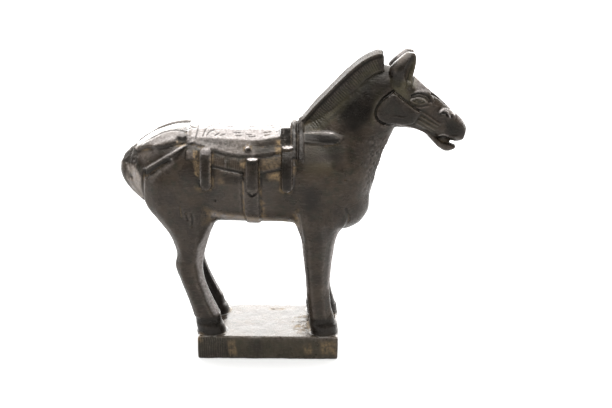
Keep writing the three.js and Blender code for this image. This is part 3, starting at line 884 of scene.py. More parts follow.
def loft(stations, shape, sides, per_span):
    """A sphere pulled into a long form: shape gives the points for each station and turn."""
    spans = stations - 1
    rings = spans * per_span + 1
    bpy.ops.object.select_all(action="DESELECT")
    bpy.ops.mesh.primitive_uv_sphere_add(segments=sides, ring_count=rings + 1)
    piece = bpy.context.object
    co = coordinates(piece)
    ring = np.rint(np.arccos(np.clip(co[:, 2], -1, 1)) * (rings + 1) / math.pi)
    at = np.clip((ring - 1) / per_span, 0, spans)
    turn = np.arctan2(co[:, 1], co[:, 0])
    open_share = (np.abs(co[:, 2]) < 1 - 1e-6)[:, None]
    place(piece, shape(at, turn, open_share))
    bpy.ops.object.mode_set(mode="EDIT")
    bpy.ops.mesh.select_all(action="SELECT")
    bpy.ops.mesh.normals_make_consistent(inside=False)
    bpy.ops.object.mode_set(mode="OBJECT")
    return piece


def mass(stations, side=1, sides=48, square=2.0, taper=0.0, corners=None):
    """An oval or cornered mass through its stations, on the given side of the body."""

    def shape(at, turn, open_share):
        row = curve(stations, at)
        back, front = row[:, 0:2], row[:, 2:4]
        ring = (cornered(turn, corners) if corners else rounded(turn, square)) * open_share
        along, across = ring.T
        middle = (back + front) / 2
        spot = middle + (front - middle) * along[:, None]
        y = across * row[:, 4] * (1 + taper * along) + row[:, 5]
        return np.stack([spot[:, 0], side * y, spot[:, 1]], axis=1)

    return loft(len(stations), shape, sides, per_span=6)


def saddle_mass(stations):
    """A saddle's block, with the cross-section of its rows along the back."""

    def shape(at, turn, open_share):
        row = curve(stations, at)
        zero = np.zeros(len(row))
        half = np.stack([zero, row[:, 2], row[:, 4], row[:, 6], zero], axis=1)
        height = np.stack([row[:, 1], row[:, 3], row[:, 5], row[:, 7], row[:, 7] - 2], axis=1)
        share = np.abs(turn) / (2 * math.pi)
        first = np.clip(np.searchsorted(SADDLE_SHARES, share, side="right") - 1, 0, 3)
        low, high = np.take(SADDLE_SHARES, first), np.take(SADDLE_SHARES, first + 1)
        mix = (share - low) / (high - low)
        rows = np.arange(len(row))
        y = half[rows, first] * (1 - mix) + half[rows, first + 1] * mix
        z = height[rows, first] * (1 - mix) + height[rows, first + 1] * mix
        y = np.sign(turn) * y * open_share[:, 0]
        z = np.where(open_share[:, 0], z, row[:, 7])
        return np.stack([row[:, 0], y, z], axis=1)

    return loft(len(stations), shape, sides=96, per_span=6)


def mane_mass():
    """The clipped mane: a wall that follows the crest."""
    wall = np.asarray(MANE_WALL, float)

    def shape(at, turn, open_share):
        share = at / (len(CREST) - 1)
        top = curve(CREST, at)
        slope = curve(CREST, np.minimum(at + 0.05, len(CREST) - 1))
        slope -= curve(CREST, np.maximum(at - 0.05, 0))
        slope /= np.linalg.norm(slope, axis=1)[:, None]
        into = np.stack([slope[:, 1], -slope[:, 0]], axis=1)
        half = np.interp(share, (0, 0.2), MANE_HALF)
        ring = np.abs(turn) / math.pi
        depth = np.interp(ring, MANE_TURNS, (0, 0, wall[1, 0], wall[2, 0], wall[2, 0]))
        width = half + np.interp(depth, wall[:, 0], wall[:, 1])
        width *= np.interp(ring, MANE_TURNS, (0, 1, 1, 1, 0))
        spot = top + into * np.where(open_share[:, 0], depth, 4)[:, None]
        return np.stack([spot[:, 0], np.sign(turn) * width * open_share[:, 0], spot[:, 1]], axis=1)

    return loft(len(CREST), shape, sides=64, per_span=8)


def cheek_mass():
    """The flat angular plate that forms both cheeks."""
    middle = np.asarray(CHEEK_MIDDLE, float)
    corners = np.asarray(CHEEK, float) - middle

    def shape(at, turn, open_share):
        row = curve(CHEEK_STATIONS, at)
        spot = middle + cornered(turn, corners) * row[:, 1:2] * open_share
        return np.stack([spot[:, 0], row[:, 0], spot[:, 1]], axis=1)

    return loft(len(CHEEK_STATIONS), shape, sides=96, per_span=1)


def ball(middle, size, lean):
    """A round boss with its own half sizes along x, y and z, leant over in side view."""
    bpy.ops.object.select_all(action="DESELECT")
    bpy.ops.mesh.primitive_uv_sphere_add(segments=24, ring_count=14)
    piece = bpy.context.object
    co = coordinates(piece) * size
    turned = np.stack(
        [
            co[:, 0] * math.cos(lean) + co[:, 2] * math.sin(lean),
            co[:, 1],
            co[:, 2] * math.cos(lean) - co[:, 0] * math.sin(lean),
        ],
        axis=1,
    )
    place(piece, turned + middle)
    return piece


def ear_mass(side):
    """One ear with its hollow cut out."""
    ear = mass(EAR, side, sides=32)
    hollow = mass(EAR_HOLLOW, side, sides=24)
    apply_modifier(ear, "BOOLEAN", operation="DIFFERENCE", object=hollow, solver="EXACT")
    bpy.data.objects.remove(hollow)
    return ear


def bowed(stations):
    """The left hind leg, which bows back a little."""
    rows = np.array(stations, float)
    for x, z in ((0, 1), (2, 3)):
        rows[:, x] -= LEG_BOW * np.sin(math.pi * np.clip(rows[:, z] / BOW_TOP, 0, 1))
    return rows


def heeled(stations):
    """The left fore leg, which is thicker low down behind."""
    rows = np.array(stations, float)
    rows[:, 0] -= HEEL_DEPTH * np.clip(1 - rows[:, 1] / HEEL_TOP, 0, 1)
    return rows


def plinth_mass(length, width, height, edge, corner):
    """The slab, in steps, with its top at height 0."""
    bpy.ops.object.select_all(action="DESELECT")
    bpy.ops.mesh.primitive_cube_add(size=1)
    piece = bpy.context.object
    bpy.ops.object.mode_set(mode="EDIT")
    bpy.ops.mesh.select_all(action="SELECT")
    bpy.ops.transform.resize(value=(length, width, height))
    bpy.ops.transform.translate(value=(0, 0, -height / 2))
    for upright, offset in ((True, corner), (False, edge)):
        shape = bmesh.from_edit_mesh(piece.data)
        for face in shape.faces:
            face.select_set(False)
        for line in shape.edges:
            low, high = (vertex.co.z for vertex in line.verts)
            rise = abs(high - low)
            line.select_set(rise > height / 2 if upright else rise < 1e-6)
        bmesh.update_edit_mesh(piece.data)
        bpy.ops.mesh.bevel(offset=offset, segments=4, affect="EDGES")
    bpy.ops.object.mode_set(mode="OBJECT")
    return piece


def fuse(pieces, grid):
    """Joins the pieces and lays one even skin over them."""
    bpy.ops.object.select_all(action="DESELECT")
    for piece in pieces:
        piece.select_set(True)
    bpy.context.view_layer.objects.active = pieces[0]
    bpy.ops.object.join()
    apply_modifier(pieces[0], "REMESH", mode="VOXEL", voxel_size=grid)
    return pieces[0]


def soften(piece, weights, passes):
    """Evens out the skin, most where the weights are 1."""
    group = piece.vertex_groups.new(name="soft")
    level = np.rint(weights * 10).astype(int)
    for tenth in range(1, 11):
        members = np.flatnonzero(level == tenth)
        if len(members):
            group.add(members.tolist(), tenth / 10, "REPLACE")
    apply_modifier(piece, "SMOOTH", factor=0.5, iterations=passes, vertex_group=group.name)
    piece.vertex_groups.clear()


def strip(x0, x1, z0, z1):
    """The outline of a straight upright strap."""
    return ((x0, z0), (x1, z0), (x1, z1), (x0, z1))


def tongue(x, width, top, foot, round_top=False):
    """A hanging strap end with a rounded foot."""
    half = width / 2
    turns = np.linspace(math.pi, 2 * math.pi, 9)
    foot_arc = [(x + half * math.cos(t), foot + half + half * math.sin(t)) for t in turns]
    if round_top:
        top_arc = [(x - half * math.cos(t), top - half - half * math.sin(t)) for t in turns]
    else:
        top_arc = [(x + half, top), (x - half, top)]
    return foot_arc + top_arc


def ribbon(upper, lower):
    """The outline of a strap between two smooth edges."""
    return np.vstack([smooth_line(upper), smooth_line(lower)[::-1]])


def outline_rise(view, layers):
    """Height of flat raised shapes with soft edges, less the line pressed along their border."""
    rise = np.zeros(len(view))
    for outline, height, edge, border in layers:
        near = within(view, outline)
        depth = depth_inside(view[near], outline)
        level = height * fade(depth, 0, edge)
        level -= border * mark(depth - edge - BORDER_GAP, BORDER_HALF) * (depth > 0)
        rise[near] = np.maximum(rise[near], level)
    return rise


def raise_lines(points, lines):
    """Sum of soft ridges and grooves along the lines."""
    height = np.zeros(len(points))
    for line, width, rise in lines:
        line = smooth_line(line, LINE_POINTS)
        near = within(points, line, RIDGE_REACH * width)
        height[near] += rise * mark(line_distance(points[near], line), width)
    return height


def harness_rise(co, sizes, step):
    """Height of the moulded harness above the body at each vertex."""
    strap, flap = sizes.strap_rise / step, sizes.flap_rise / step
    band, thin = sizes.band_rise / step, sizes.thin_rise / step

    def above(foot):
        return ribbon([(x, SADDLE_TOP) for x, _ in foot], foot)

    # Outline, rise, width of its soft edge, and depth of the line pressed along its border
    side_layers = (
        (above(BLANKET_FOOT), thin * 0.5, 0.45, 0.1),
        (above(FLAP_FOOT), flap, 0.6, 0),
        (PANEL, thin * 0.7, 0.4, 0.2),
        (strip(-9.8, -2.9, 45, 90), thin * 0.75, 0.5, 0.2),
        (tongue(-27, 5.9, 94.6, 75.6, True), strap, 0.6, 0.3),
        (HINGE_STRAP, strap, 0.6, 0.3),
        (tongue(10, 5.6, 95, 74.8), strap, 0.6, 0.35),
        (strip(11.7, 14.5, 89.8, 112), band, 0.5, 0.25),
        (strip(15, 17.7, 89, 112), band * 0.85, 0.5, 0.25),
        (ribbon(BREECHING_TOP, BREECHING_FOOT), thin * 0.5, 0.5, 0),
        (ribbon(*SHOULDER_TONGUE), thin * 0.8, 0.5, 0.5),
    )
    # Line, half width and height: strap edges, the breeching's fold, and the blanket's hem
    ridges = (
        (BREECHING_TOP, 0.28, thin * 0.32),
        (BREECHING_FOOT[:3], 0.4, thin * 0.25),
        (((-41.8, 89), (-48.1, 83.8), (-52.2, 79.6)), 1.4, 0.15),
        (((-55, 81.4), (-49, 85.6), (-44, 89)), 1.1, -1.6),
        (((-29.4, 93), (-24.5, 93)), 1.3, 0.9),
        (((-19.6, 84.6), (-14.5, 83.5), (-9.6, 82.2)), 0.45, 0.35),
    )
    view = co[:, [0, 2]]
    rise = outline_rise(view, side_layers) + raise_lines(view, ridges)
    top_view = from_above(co)
    crupper = outline_rise(top_view, ((ribbon(CRUPPER_EDGE, CRUPPER_FOOT), thin * 1.1, 0.6, 0),))
    crupper_lines = [(BUCKLE_GROOVE, 1.2, -1.2)]
    crupper_lines += [(rib, 0.36, -0.32) for rib in CRUPPER_RIBS]
    crupper_lines.append((CRUPPER_PAD, 1.1, 0.5))
    crupper += raise_lines(top_view, crupper_lines)
    return rise + crupper * fade(co[:, 2], 86, 89) * (co[:, 0] < -34)


def flesh(sizes, step):
    """The bare body, evened out, with the harness raised on it."""
    pieces = [
        mass(TRUNK, sides=96, square=2.2),
        mass(NECK, sides=72, taper=0.3),
        mass(HEAD, corners=HEAD_CORNERS, taper=0.1),
        mass(LOWER_JAW, sides=32),
        mass(TAIL, sides=40),
        mass(HIND_LEG, -1, corners=LEG_CORNERS),
        mass(bowed(HIND_LEG), 1, corners=LEG_CORNERS),
        mass(FRONT_LEG, -1, corners=LEG_CORNERS),
        mass(heeled(FRONT_LEG), 1, corners=LEG_CORNERS),
    ]
    body = fuse(pieces, BODY_GRID)
    # Most of the smoothing is on the torso, and little on head, legs and rump.
    x, _, z = coordinates(body).T
    torso = fade(z, 46, 60) * (1 - fade(x, 50, 56))
    rump = 1 - fade(x, -60, -56)
    soften(body, np.clip(torso * (1 - 0.8 * rump) + 0.12, 0, 1), BODY_SMOOTHING)
    co = coordinates(body)
    place(body, co + outward(body) * harness_rise(co, sizes, step)[:, None])
    return body


def whole_figure(sizes, step):
    """Body, hooves, saddle, mane, cheeks, ears, bosses and slab under one even skin."""
    plinth = (sizes.plinth_length, sizes.plinth_width, sizes.plinth_height, sizes.plinth_edge)
    pieces = [
        flesh(sizes, step),
        mass(HIND_HOOF, -1),
        mass(bowed(HIND_HOOF), 1),
        mass(FRONT_HOOF, -1),
        mass(heeled(FRONT_HOOF), 1),
        saddle_mass(SEAT),
        saddle_mass(POMMEL),
        mane_mass(),
        cheek_mass(),
        *(ball(*boss) for boss in BOSSES),
        plinth_mass(*(size / step for size in plinth), SLAB_CORNER),
    ]
    for side in (-1, 1):
        pieces.append(ear_mass(side))
        pieces += [ball((x, side * y, z), size, lean) for (x, y, z), size, lean in SIDE_BOSSES]
    horse = fuse(pieces, SKIN_GRID)
    soften(horse, np.ones(len(horse.data.vertices)), SKIN_SMOOTHING)
    return horse


def mane_place(view):
    """How far along the crest each side-view point lies, and how deep below it."""
    crest = smooth_line(CREST, CREST_POINTS)
    lengths = np.concatenate([[0], np.cumsum(np.linalg.norm(np.diff(crest, axis=0), axis=1))])
    along = np.zeros(len(view))
    depth = np.full(len(view), FAR_BELOW)
    near = np.flatnonzero((view[:, 0] > 14) & (view[:, 0] < 60) & (view[:, 1] > 92))
    for part in np.array_split(near, max(1, len(near) // BATCH)):
        reach = np.linalg.norm(view[part, None] - crest[None], axis=2)
        nearest = reach.argmin(axis=1)
        along[part] = lengths[nearest]
        depth[part] = reach[np.arange(len(part)), nearest]
    return along, depth


def grooves(along, pitch):
    """Even grooves across a direction: 1 in a groove and 0 between two."""
    return 0.5 + 0.5 * np.cos(2 * math.pi * along / pitch)


def combed(co, along):
    """The grooves between the mane's locks."""
    return grooves(along + 0.35 * grain(co, 3, seed=5), HAIR_PITCH)


def head_share(co):
    """1 on the head, and 0 on the neck and the body."""
    return fade(co[:, 0], 52, 56) * fade(co[:, 2], 86, 90)


def scratches(co):
    """Upright streaks of grain for the slab's sides."""
    return grain(co * (1, 1, 0.1), 0.6, seed=6)


def slab_cuts(co):
    """Upright cuts in the slab's front, at its hind end."""
    x = co[:, 0]
    cuts = grooves(x + 0.25 * grain(co, 3, seed=6), 1.1)
    return cuts * between(x, -34, -33, -22, -14)


def rough_places(co):
    """Where the casting is coarse: pommel flanks, tail knob, bands, throat and flaps."""
    x, y, z = co.T
    aside = np.abs(y)
    pommel = between(x, 6.6, 7.2, 11.2, 11.8) * fade(z, 94.6, 95.4) * fade(aside, 12, 13)
    bands = between(x, 11.6, 12, 17.4, 17.8) * fade(z, 88, 92) * 0.45
    throat = between(x, 44, 50, 55, 58) * between(z, 72, 78, 97, 101) * 0.9
    knob = (1 - fade(x, -60.5, -58.5)) * between(z, 82.5, 84, 91.5, 93)
    flap = (x > -36) * (x < 7) * fade(z, 89.5, 91) * (aside > 13.4) * 0.4
    return np.maximum.reduce([pommel, knob, flap, bands, throat])


def carved_relief(co, normals):
    """Height of the carved lines, pits, eyes, pressed marks and the blanket's ribs."""
    x, _, z = co.T
    view = co[:, [0, 2]]
    sideways = fade(np.abs(normals[:, 1]), 0.2, 0.5)
    upward = fade(normals[:, 2], 0.5, 0.8)
    face = fade(x, 46, 49) * fade(z, 86, 90)
    height = face * raise_lines(view, FACE_LINES) + (1 - face) * raise_lines(view, BODY_LINES)
    for pit_x, pit_z, radius, depth in PITS:
        height -= depth * mark(np.hypot(x - pit_x, z - pit_z), radius)
    eye = oval(x, z, EYE)
    height += head_share(co) * (0.35 * (1 - fade(eye, 0.5, 1.1)) - 0.25 * (1 - fade(eye, 0, 0.5)))
    ribs = (x > -24) * (x < -9) * (z > 84) * between(z, 84.4, 85, 90.6, 91.4)
    height -= ribs * 0.14 * grooves(x + 0.3 * grain(co, 2, seed=8), 0.95)
    pressed = raise_lines(from_above(co), [(line, *SEAT_CUT) for line in SEAT_MARKS])
    return sideways * height + upward * (z > 96) * pressed


def hair_relief(co, normals):
    """Height of the mane's combed locks and of the line below its lip."""
    x, y, z = co.T
    sideways = fade(np.abs(normals[:, 1]), 0.2, 0.5)
    along, depth = mane_place(co[:, [0, 2]])
    hair = (z > 100) * (1 - fade(depth, 4.5, 8)) * (np.abs(y) < 8.5) * fade(x, 17, 26)
    wall = sideways * fade(depth, 1.2, 2.2) + 0.5 * (1 - sideways)
    height = -0.3 * hair * wall * combed(co, along) * (0.8 + 0.5 * grain(co, 2.5, seed=9))
    return height - 0.5 * sideways * mark(depth - 1.7, 0.5) * (z > 104) * (np.abs(y) < 8)


def cast_relief(co, normals):
    """Height of the clay's unevenness: rough places, mould seam, chest and the slab's cuts."""
    x, y, z = co.T
    level_top = (np.abs(z) < 1) * fade(normals[:, 2], 0.5, 0.8)
    height = (1 - 0.7 * level_top) * (0.1 * grain(co, 6, seed=1) + 0.07 * grain(co, 2.4, seed=2))
    height += 0.03 * grain(co, 0.9, seed=13) + 0.3 * rough_places(co) * grain(co, 1, seed=3)
    body = 1 - head_share(co)
    seam = mark(y, 0.6) * fade(x, 38, 44) * fade(normals[:, 0], 0.2, 0.5) * body
    height += seam * (0.2 + 0.3 * grain(co, 1.4, seed=4))
    chest = fade(x, 40, 46) * fade(normals[:, 0], 0.3, 0.7) * body * fade(z, 66, 76)
    height += 0.16 * chest * grain(co, 1.3, seed=10)
    slab_side = (z < -0.5) * (np.abs(normals[:, 2]) < 0.5)
    height += slab_side * (0.08 * scratches(co) - 0.2 * slab_cuts(co) + 0.16 * grain(co, 7, seed=7))
    return height - 0.04 * (np.abs(z) < 1) * (1 + grain(co, 5, seed=14))


def evened(co, edges, passes):
    """The same vertices with the skin between them evened out."""
    size = len(co)
    count = np.bincount(edges.ravel(), minlength=size)
    first, second = edges.T
    even = co.copy()
    for _ in range(passes):
        for values in even.T:
            total = np.bincount(first, values[second], size)
            total += np.bincount(second, values[first], size)
            values += 0.5 * (total / count - values)
    return even


def paint(view, kind):
    """How strongly a kind of paint lies at each side-view point."""
    total = np.zeros(len(view))
    for outline, soft, strength in PATCHES[kind]:
        near = within(view, outline, soft)
        level = strength * fade(depth_inside(view[near], outline), -soft, soft)
        total[near] = np.maximum(total[near], level)
    for line, width, strength in STROKES.get(kind, ()):
        line = smooth_line(line, LINE_POINTS)
        near = within(view, line, PAINT_REACH * width)
        level = strength * mark(line_distance(view[near], line), width)
        total[near] = np.maximum(total[near], level)
    return total


def store(piece, name, values):
    """Keeps a level from 0 to 1 for each vertex under a name."""
    layer = piece.data.attributes.new(name, "FLOAT", "POINT")
    layer.data.foreach_set("value", np.clip(values, 0, 1).astype(np.float32))


class Skin:
    """The finished skin's points, and what several of its marks are worked out from."""

    def __init__(self, piece):
        self.co, self.normals = coordinates(piece), outward(piece)
        self.view = self.co[:, [0, 2]]
        self.top_view = from_above(self.co)
        edges = np.empty(len(piece.data.edges) * 2, np.int32)
        piece.data.edges.foreach_get("vertices", edges)
        moved = evened(self.co, edges.reshape(-1, 2), HOLLOW_SMOOTHING) - self.co
        self.hollow = np.sum(moved * self.normals, axis=1)
        self.flank = fade(np.abs(self.normals[:, 1]), 0.1, 0.35)
        self.inward = -self.normals[:, 1] * np.sign(self.co[:, 1])
        self.patchy = 0.5 + 0.5 * grain(self.co, 5, seed=11)
        self.speckle = 0.5 + 0.5 * grain(self.co, 0.9, seed=12)
        self.broken = 0.5 + 0.5 * grain(self.co, 2.2, seed=15)
        self.rough = rough_places(self.co)
        self.specks = fade(self.speckle, 0.58, 0.74) * self.rough
        self.along, self.depth = mane_place(self.view)
        x, y, z = self.co.T
        self.crest = (z > 100) * (np.abs(y) < 8) * (self.depth < 20)
        self.buckle = fade(depth_inside(self.top_view, BUCKLE), -0.3, 0.3) * (z > 90)
        self.on_bands = (x > 6.6) & (x < 18)


def pressed_line_shade(skin):
    """How strongly the pressed lines of the seat and the crupper show from above, as painted shade in
    these grooves.
    """
    x, y, z = skin.co.T
    upward = skin.normals[:, 2]
    line_shade = np.zeros(len(skin.co))
    on_back = np.flatnonzero((z > 86) & (x < 8))
    for line in SEAT_MARKS + CRUPPER_RIBS:
        near = line_distance(skin.top_view[on_back], smooth_line(line, LINE_POINTS))
        line_shade[on_back] = np.maximum(line_shade[on_back], mark(near, 0.3))
    seat = (z > 96) * fade(upward, 0.55, 0.8)
    rump = fade(z, 89, 92) * fade(upward, 0.2, 0.5) * (1 - 0.5 * (y > 0))
    return line_shade * np.where(x > -34, seat, rump)


def shade_and_soot_level(skin, line_shade):
    """Dark paint: the painted patches, some of them painted shade, the buckle's recess, and painted
    shade in the pressed lines, under the mane's lip, in its grooves and below it, in the slab's cuts
    and between the legs.
    """
    co, depth = skin.co, skin.depth
    _, y, z = co.T
    painted = paint(skin.view, "dark") * skin.flank
    # Painted shade under the mane's lip
    lip = mark(depth - 1.8, 0.5) * skin.crest * skin.flank
    # Painted shade in the grooves between the mane's locks, over a little dark paint on the whole mane
    locks = 0.25 + 0.75 * combed(co, skin.along)
    lock_shade = skin.crest * (1 - fade(depth, 7, 9)) * locks * 0.8
    # Painted shadow under the mane
    mane_shadow = between(depth, 7.5, 9, 9, 18) * skin.crest * skin.flank * 0.8
    # Painted shade in the slab's cuts and scratches
    slab_side = (z < -0.4) * (np.abs(skin.normals[:, 2]) < 0.5)
    cuts = slab_side * (0.25 * fade(-scratches(co), 0.1, 0.7) + 0.75 * slab_cuts(co))
    # Painted shade on the legs' inner faces, between the legs
    between_legs_shade = (np.abs(y) < 16) * fade(skin.inward, 0.1, 0.5) * between(z, 0.5, 3, 46, 58) * 0.8
    return np.maximum.reduce(
        [painted, line_shade * 0.95, skin.buckle, lip, lock_shade, mane_shadow, cuts, between_legs_shade]
    )


def slab_dirt(skin, slab_top):
    """Dirt on the slab's top, by the near fore hoof and at the edge beside it."""
    x, y, _ = skin.co.T
    nearest = np.minimum.reduce([oval(x, y, row) for row in SLAB_DIRT])
    return slab_top * (1 - fade(nearest, 0.5, 1.2))


def earth_level(skin, dirt):
    """Dry earth in the painted patches, the hollows and the dirt on the slab."""
    x, _, z = skin.co.T
    mottled = skin.broken + skin.speckle
    painted = paint(skin.view, "earth") * skin.flank * fade(mottled, 0.5, 1.1)
    hollows = fade(skin.hollow, 0.03, 0.16) * fade(skin.patchy, 0.4, 0.85)
    hollows *= 0.6 - 0.5 * fade(x, 12, 20) * fade(z, 92, 100)
    return np.maximum.reduce([painted, hollows, dirt * fade(mottled, 0.5, 1.3) * 0.9])


def painted_ledge_highlights(skin):
    """Painted highlight on the ledges over the two front straps, where they are turned up."""
    x, y, z = skin.co.T
    ledge = np.zeros(len(x), bool)
    for middle, half, height, aside in LEDGES:
        ledge |= (np.abs(x - middle) < half) & (np.abs(z - height) < 1) & (np.abs(y) > aside)
    return ledge * fade(skin.normals[:, 2], 0.5, 0.75)


def rubbed_and_highlight_level(skin, ledge_highlights):
    """Pale paint: rubbed clay in the painted patches, some of them painted highlights, and in the
    specks; painted highlights on the ears, the seat and the strap ledges; and both on the crupper.
    """
    x, y, z = skin.co.T
    # The crupper's pad and strap: rubbed clay, and painted highlight on the top of the rump
    from_pad = line_distance(skin.top_view, smooth_line(CRUPPER_PAD, LINE_POINTS))
    pad = mark(from_pad, 1.3) * (z > 90) * 0.4
    strap = fade(depth_inside(skin.top_view, ribbon(CRUPPER_EDGE, CRUPPER_FOOT)), -0.2, 0.5)
    strap *= (x < -35) * fade(z, 90, 93) * 0.3
    grey = np.maximum.reduce([paint(skin.view, "grey") * skin.flank, pad, strap])
    grey *= 0.75 + 0.45 * skin.speckle
    grey *= np.where(x < -57, fade(np.abs(skin.normals[:, 1]), 0.45, 0.75), 1)
    specks = skin.specks * np.select([x < -56, skin.on_bands], [0.7, 0.4], 0.16)
    # Painted highlight on the ears' inner faces
    inner_ear_highlight = (z > 124) * (x > 56) * (x < 70) * fade(skin.inward, 0.2, 0.5) * 0.6
    # Painted highlight on the seat's top, with some rubbed clay
    ridge = np.interp(x, [row[0] for row in SEAT], [row[4] for row in SEAT])
    seat = fade(ridge - np.abs(y), -0.3, 0.4) * fade(z, 95.5, 96.5) * (x > -36) * (x < 11.6)
    return np.maximum.reduce([grey, specks, inner_ear_highlight, seat * 0.56, ledge_highlights])


def mark_surface(piece):
    """Stores where earth, rubbed clay with painted highlights, soot with painted shade, olive tint and
    coarse grain lie on the skin.
    """
    skin = Skin(piece)
    x, _, z = skin.co.T
    slab_top = (np.abs(z) < 0.8) * fade(skin.normals[:, 2], 0.6, 0.9)
    line_shade = pressed_line_shade(skin)
    dirt = slab_dirt(skin, slab_top)
    spots = dirt * fade(skin.speckle, 0.6, 0.74)
    ledge_highlights = painted_ledge_highlights(skin)
    dark = np.maximum(shade_and_soot_level(skin, line_shade), spots * 0.9)
    earth = earth_level(skin, dirt) * (1 - 0.85 * np.maximum(dark, line_shade))
    dark *= (1 - ledge_highlights) * (1 - 0.8 * skin.specks * skin.on_bands)
    grey = rubbed_and_highlight_level(skin, ledge_highlights) * (1 - np.clip(dark, 0, 1))
    shoulder = between(x, 17, 19, 33, 40) * between(z, 84, 90, 99.4, 100.4) * skin.flank * 0.7
    lip = skin.crest * (skin.depth < 3)
    # The dark level is soot and painted shade, the grey one rubbed clay and painted highlights
    levels = {
        "earth": earth,
        "grey": grey,
        "calm": slab_top,
        "dark": dark * (0.75 + 0.4 * skin.patchy),
        "wear": fade(-skin.hollow, 0.02, 0.14),
        "olive": paint(skin.view, "olive") * skin.flank * fade(skin.patchy, 0.05, 0.5),
        "coarse": np.maximum.reduce([skin.rough, lip, skin.buckle, spots, shoulder]),
        "hollow": fade(skin.hollow, 0, 0.12),
    }
    for name, values in levels.items():
        store(piece, name, values)


class NodeSheet:
    """Adds nodes to a tree and links them in one line each."""

    def __init__(self, tree):
        self.tree = tree
        tree.nodes.clear()

    def add(self, kind, settings=None, **inputs):
        """A node with its settings and inputs; input i6 is the one numbered 6."""
        node = self.tree.nodes.new(kind)
        for name, value in (settings or {}).items():
            setattr(node, name, value)
        for name, value in inputs.items():
            numbered = name[0] == "i" and name[1:].isdigit()
            socket = node.inputs[int(name[1:]) if numbered else name.replace("_", " ")]
            if isinstance(value, bpy.types.NodeSocket):
                self.tree.links.new(value, socket)
            else:
                socket.default_value = value
        return node

    def mix(self, factor, first, colour):
        """A colour laid over the first one by a factor."""
        kind = {"data_type": "RGBA"}
        return self.add("ShaderNodeMix", kind, i0=factor, i6=first, i7=colour).outputs[2]

    def math(self, operation, first, second=0.0, clamp=False):
        """Two values joined by an operation."""
        settings = {"operation": operation, "use_clamp": clamp}
        return self.add("ShaderNodeMath", settings, i0=first, i1=second).outputs[0]

    def span(self, value, low, high, to_low=0.0, to_high=1.0):
        """Value moved from one range to another and kept inside it."""
        bounds = {"From_Min": low, "From_Max": high, "To_Min": to_low, "To_Max": to_high}
        return self.add("ShaderNodeMapRange", {"clamp": True}, Value=value, **bounds).outputs[0]

    def stored(self, name):
        """A level stored on the skin."""
        return self.add("ShaderNodeAttribute", {"attribute_name": name}).outputs["Fac"]

    def noise(self, vector, scale, detail=4.0, roughness=0.55):
        """Noise around 0.5, with its scale per metre."""
        settings = {"Scale": scale, "Detail": detail, "Roughness": roughness}
        return self.add("ShaderNodeTexNoise", Vector=vector, **settings).outputs[0]


def clay_material(looks):
    """Burnished dark clay with earth in its hollows, soot and painted shade in its dark places and
    hollows, and rubbed clay and painted highlights in its pale places.
    """
    material = bpy.data.materials.new("dark_clay")
    material.use_nodes = True
    sheet = NodeSheet(material.node_tree)
    spot = sheet.add("ShaderNodeTexCoord").outputs["Object"]
    drawn = sheet.add("ShaderNodeMapping", Vector=spot, Scale=(0.2, 1, 1)).outputs[0]
    broad = sheet.noise(spot, 90, 3)
    blotch = sheet.noise(spot, 260, 4)
    fine = sheet.noise(spot, 900, 5)
    streaks = sheet.noise(drawn, 1500, 4, 0.7)
    # Rubbed clay and painted highlights
    grey = sheet.math("MULTIPLY", sheet.stored("grey"), sheet.span(fine, 0.38, 0.62, 0.55, 1))
    wear = sheet.math("MULTIPLY", sheet.stored("wear"), sheet.span(fine, 0.35, 0.6, 0.1, 0.5))
    # Soot and painted shade, with painted shade in the hollows too
    soot_and_shade = sheet.math("MULTIPLY", sheet.stored("dark"), 0.9)
    soot_and_shade = sheet.math("MAXIMUM", soot_and_shade, sheet.math("MULTIPLY", sheet.stored("hollow"), 0.6))
    ground = sheet.span(fine, 0.32, 0.56, 0.15, 1)
    earth = sheet.math("MULTIPLY", sheet.stored("earth"), ground, clamp=True)
    layers = (
        (sheet.span(broad, 0.4, 0.62), looks.brown_clay),
        (sheet.span(blotch, 0.5, 0.68, 0, 0.6), looks.green_clay),
        (sheet.math("MULTIPLY", sheet.stored("olive"), 0.9), looks.olive_tint),
        (sheet.span(streaks, 0.5, 0.78, 0, 0.4), looks.worn_clay),
        (wear, looks.worn_clay),
        (grey, looks.rubbed_clay_and_highlight),
        (soot_and_shade, looks.soot_and_shade),
        (earth, looks.earth),
    )
    colour = (*looks.dark_clay, 1)
    for factor, tone in layers:
        colour = sheet.mix(factor, colour, (*tone, 1))
    gloss = sheet.span(broad, 0.35, 0.65, looks.roughness - 0.05, looks.roughness + 0.08)
    gloss = sheet.math("SUBTRACT", gloss, sheet.math("MULTIPLY", sheet.stored("calm"), 0.08))
    gloss = sheet.math("ADD", gloss, sheet.math("MULTIPLY", sheet.stored("coarse"), 0.42))
    gloss = sheet.add("ShaderNodeMix", {"data_type": "FLOAT"}, i0=earth, i2=gloss, i3=0.9).outputs[0]
    coarse = sheet.math("MULTIPLY", sheet.stored("coarse"), sheet.noise(spot, 1300, 2))
    pits = sheet.math("ADD", sheet.math("MULTIPLY", fine, 0.6), sheet.math("MULTIPLY", streaks, 0.6))
    pits = sheet.math("ADD", pits, coarse)
    pits = sheet.math("MULTIPLY", pits, sheet.span(sheet.stored("calm"), 0, 1, 1, 0.15))
    depth = {"Strength": looks.bump, "Distance": PIT_DEPTH}
    bump = sheet.add("ShaderNodeBump", Height=pits, **depth).outputs[0]
    finish = {"Base_Color": colour, "Roughness": gloss, "IOR": looks.ior, "Normal": bump}
    shader = sheet.add("ShaderNodeBsdfPrincipled", **finish)
    shader.inputs["Specular Tint"].default_value = (*looks.sheen_tint, 1)
    sheet.add("ShaderNodeOutputMaterial", Surface=shader.outputs[0])
    return material


def size_property(name, description, value):
    """A length in metres, shown with its name and description."""
    return FloatProperty(
        name=name, description=description, default=value, min=0, unit="LENGTH", precision=4
    )


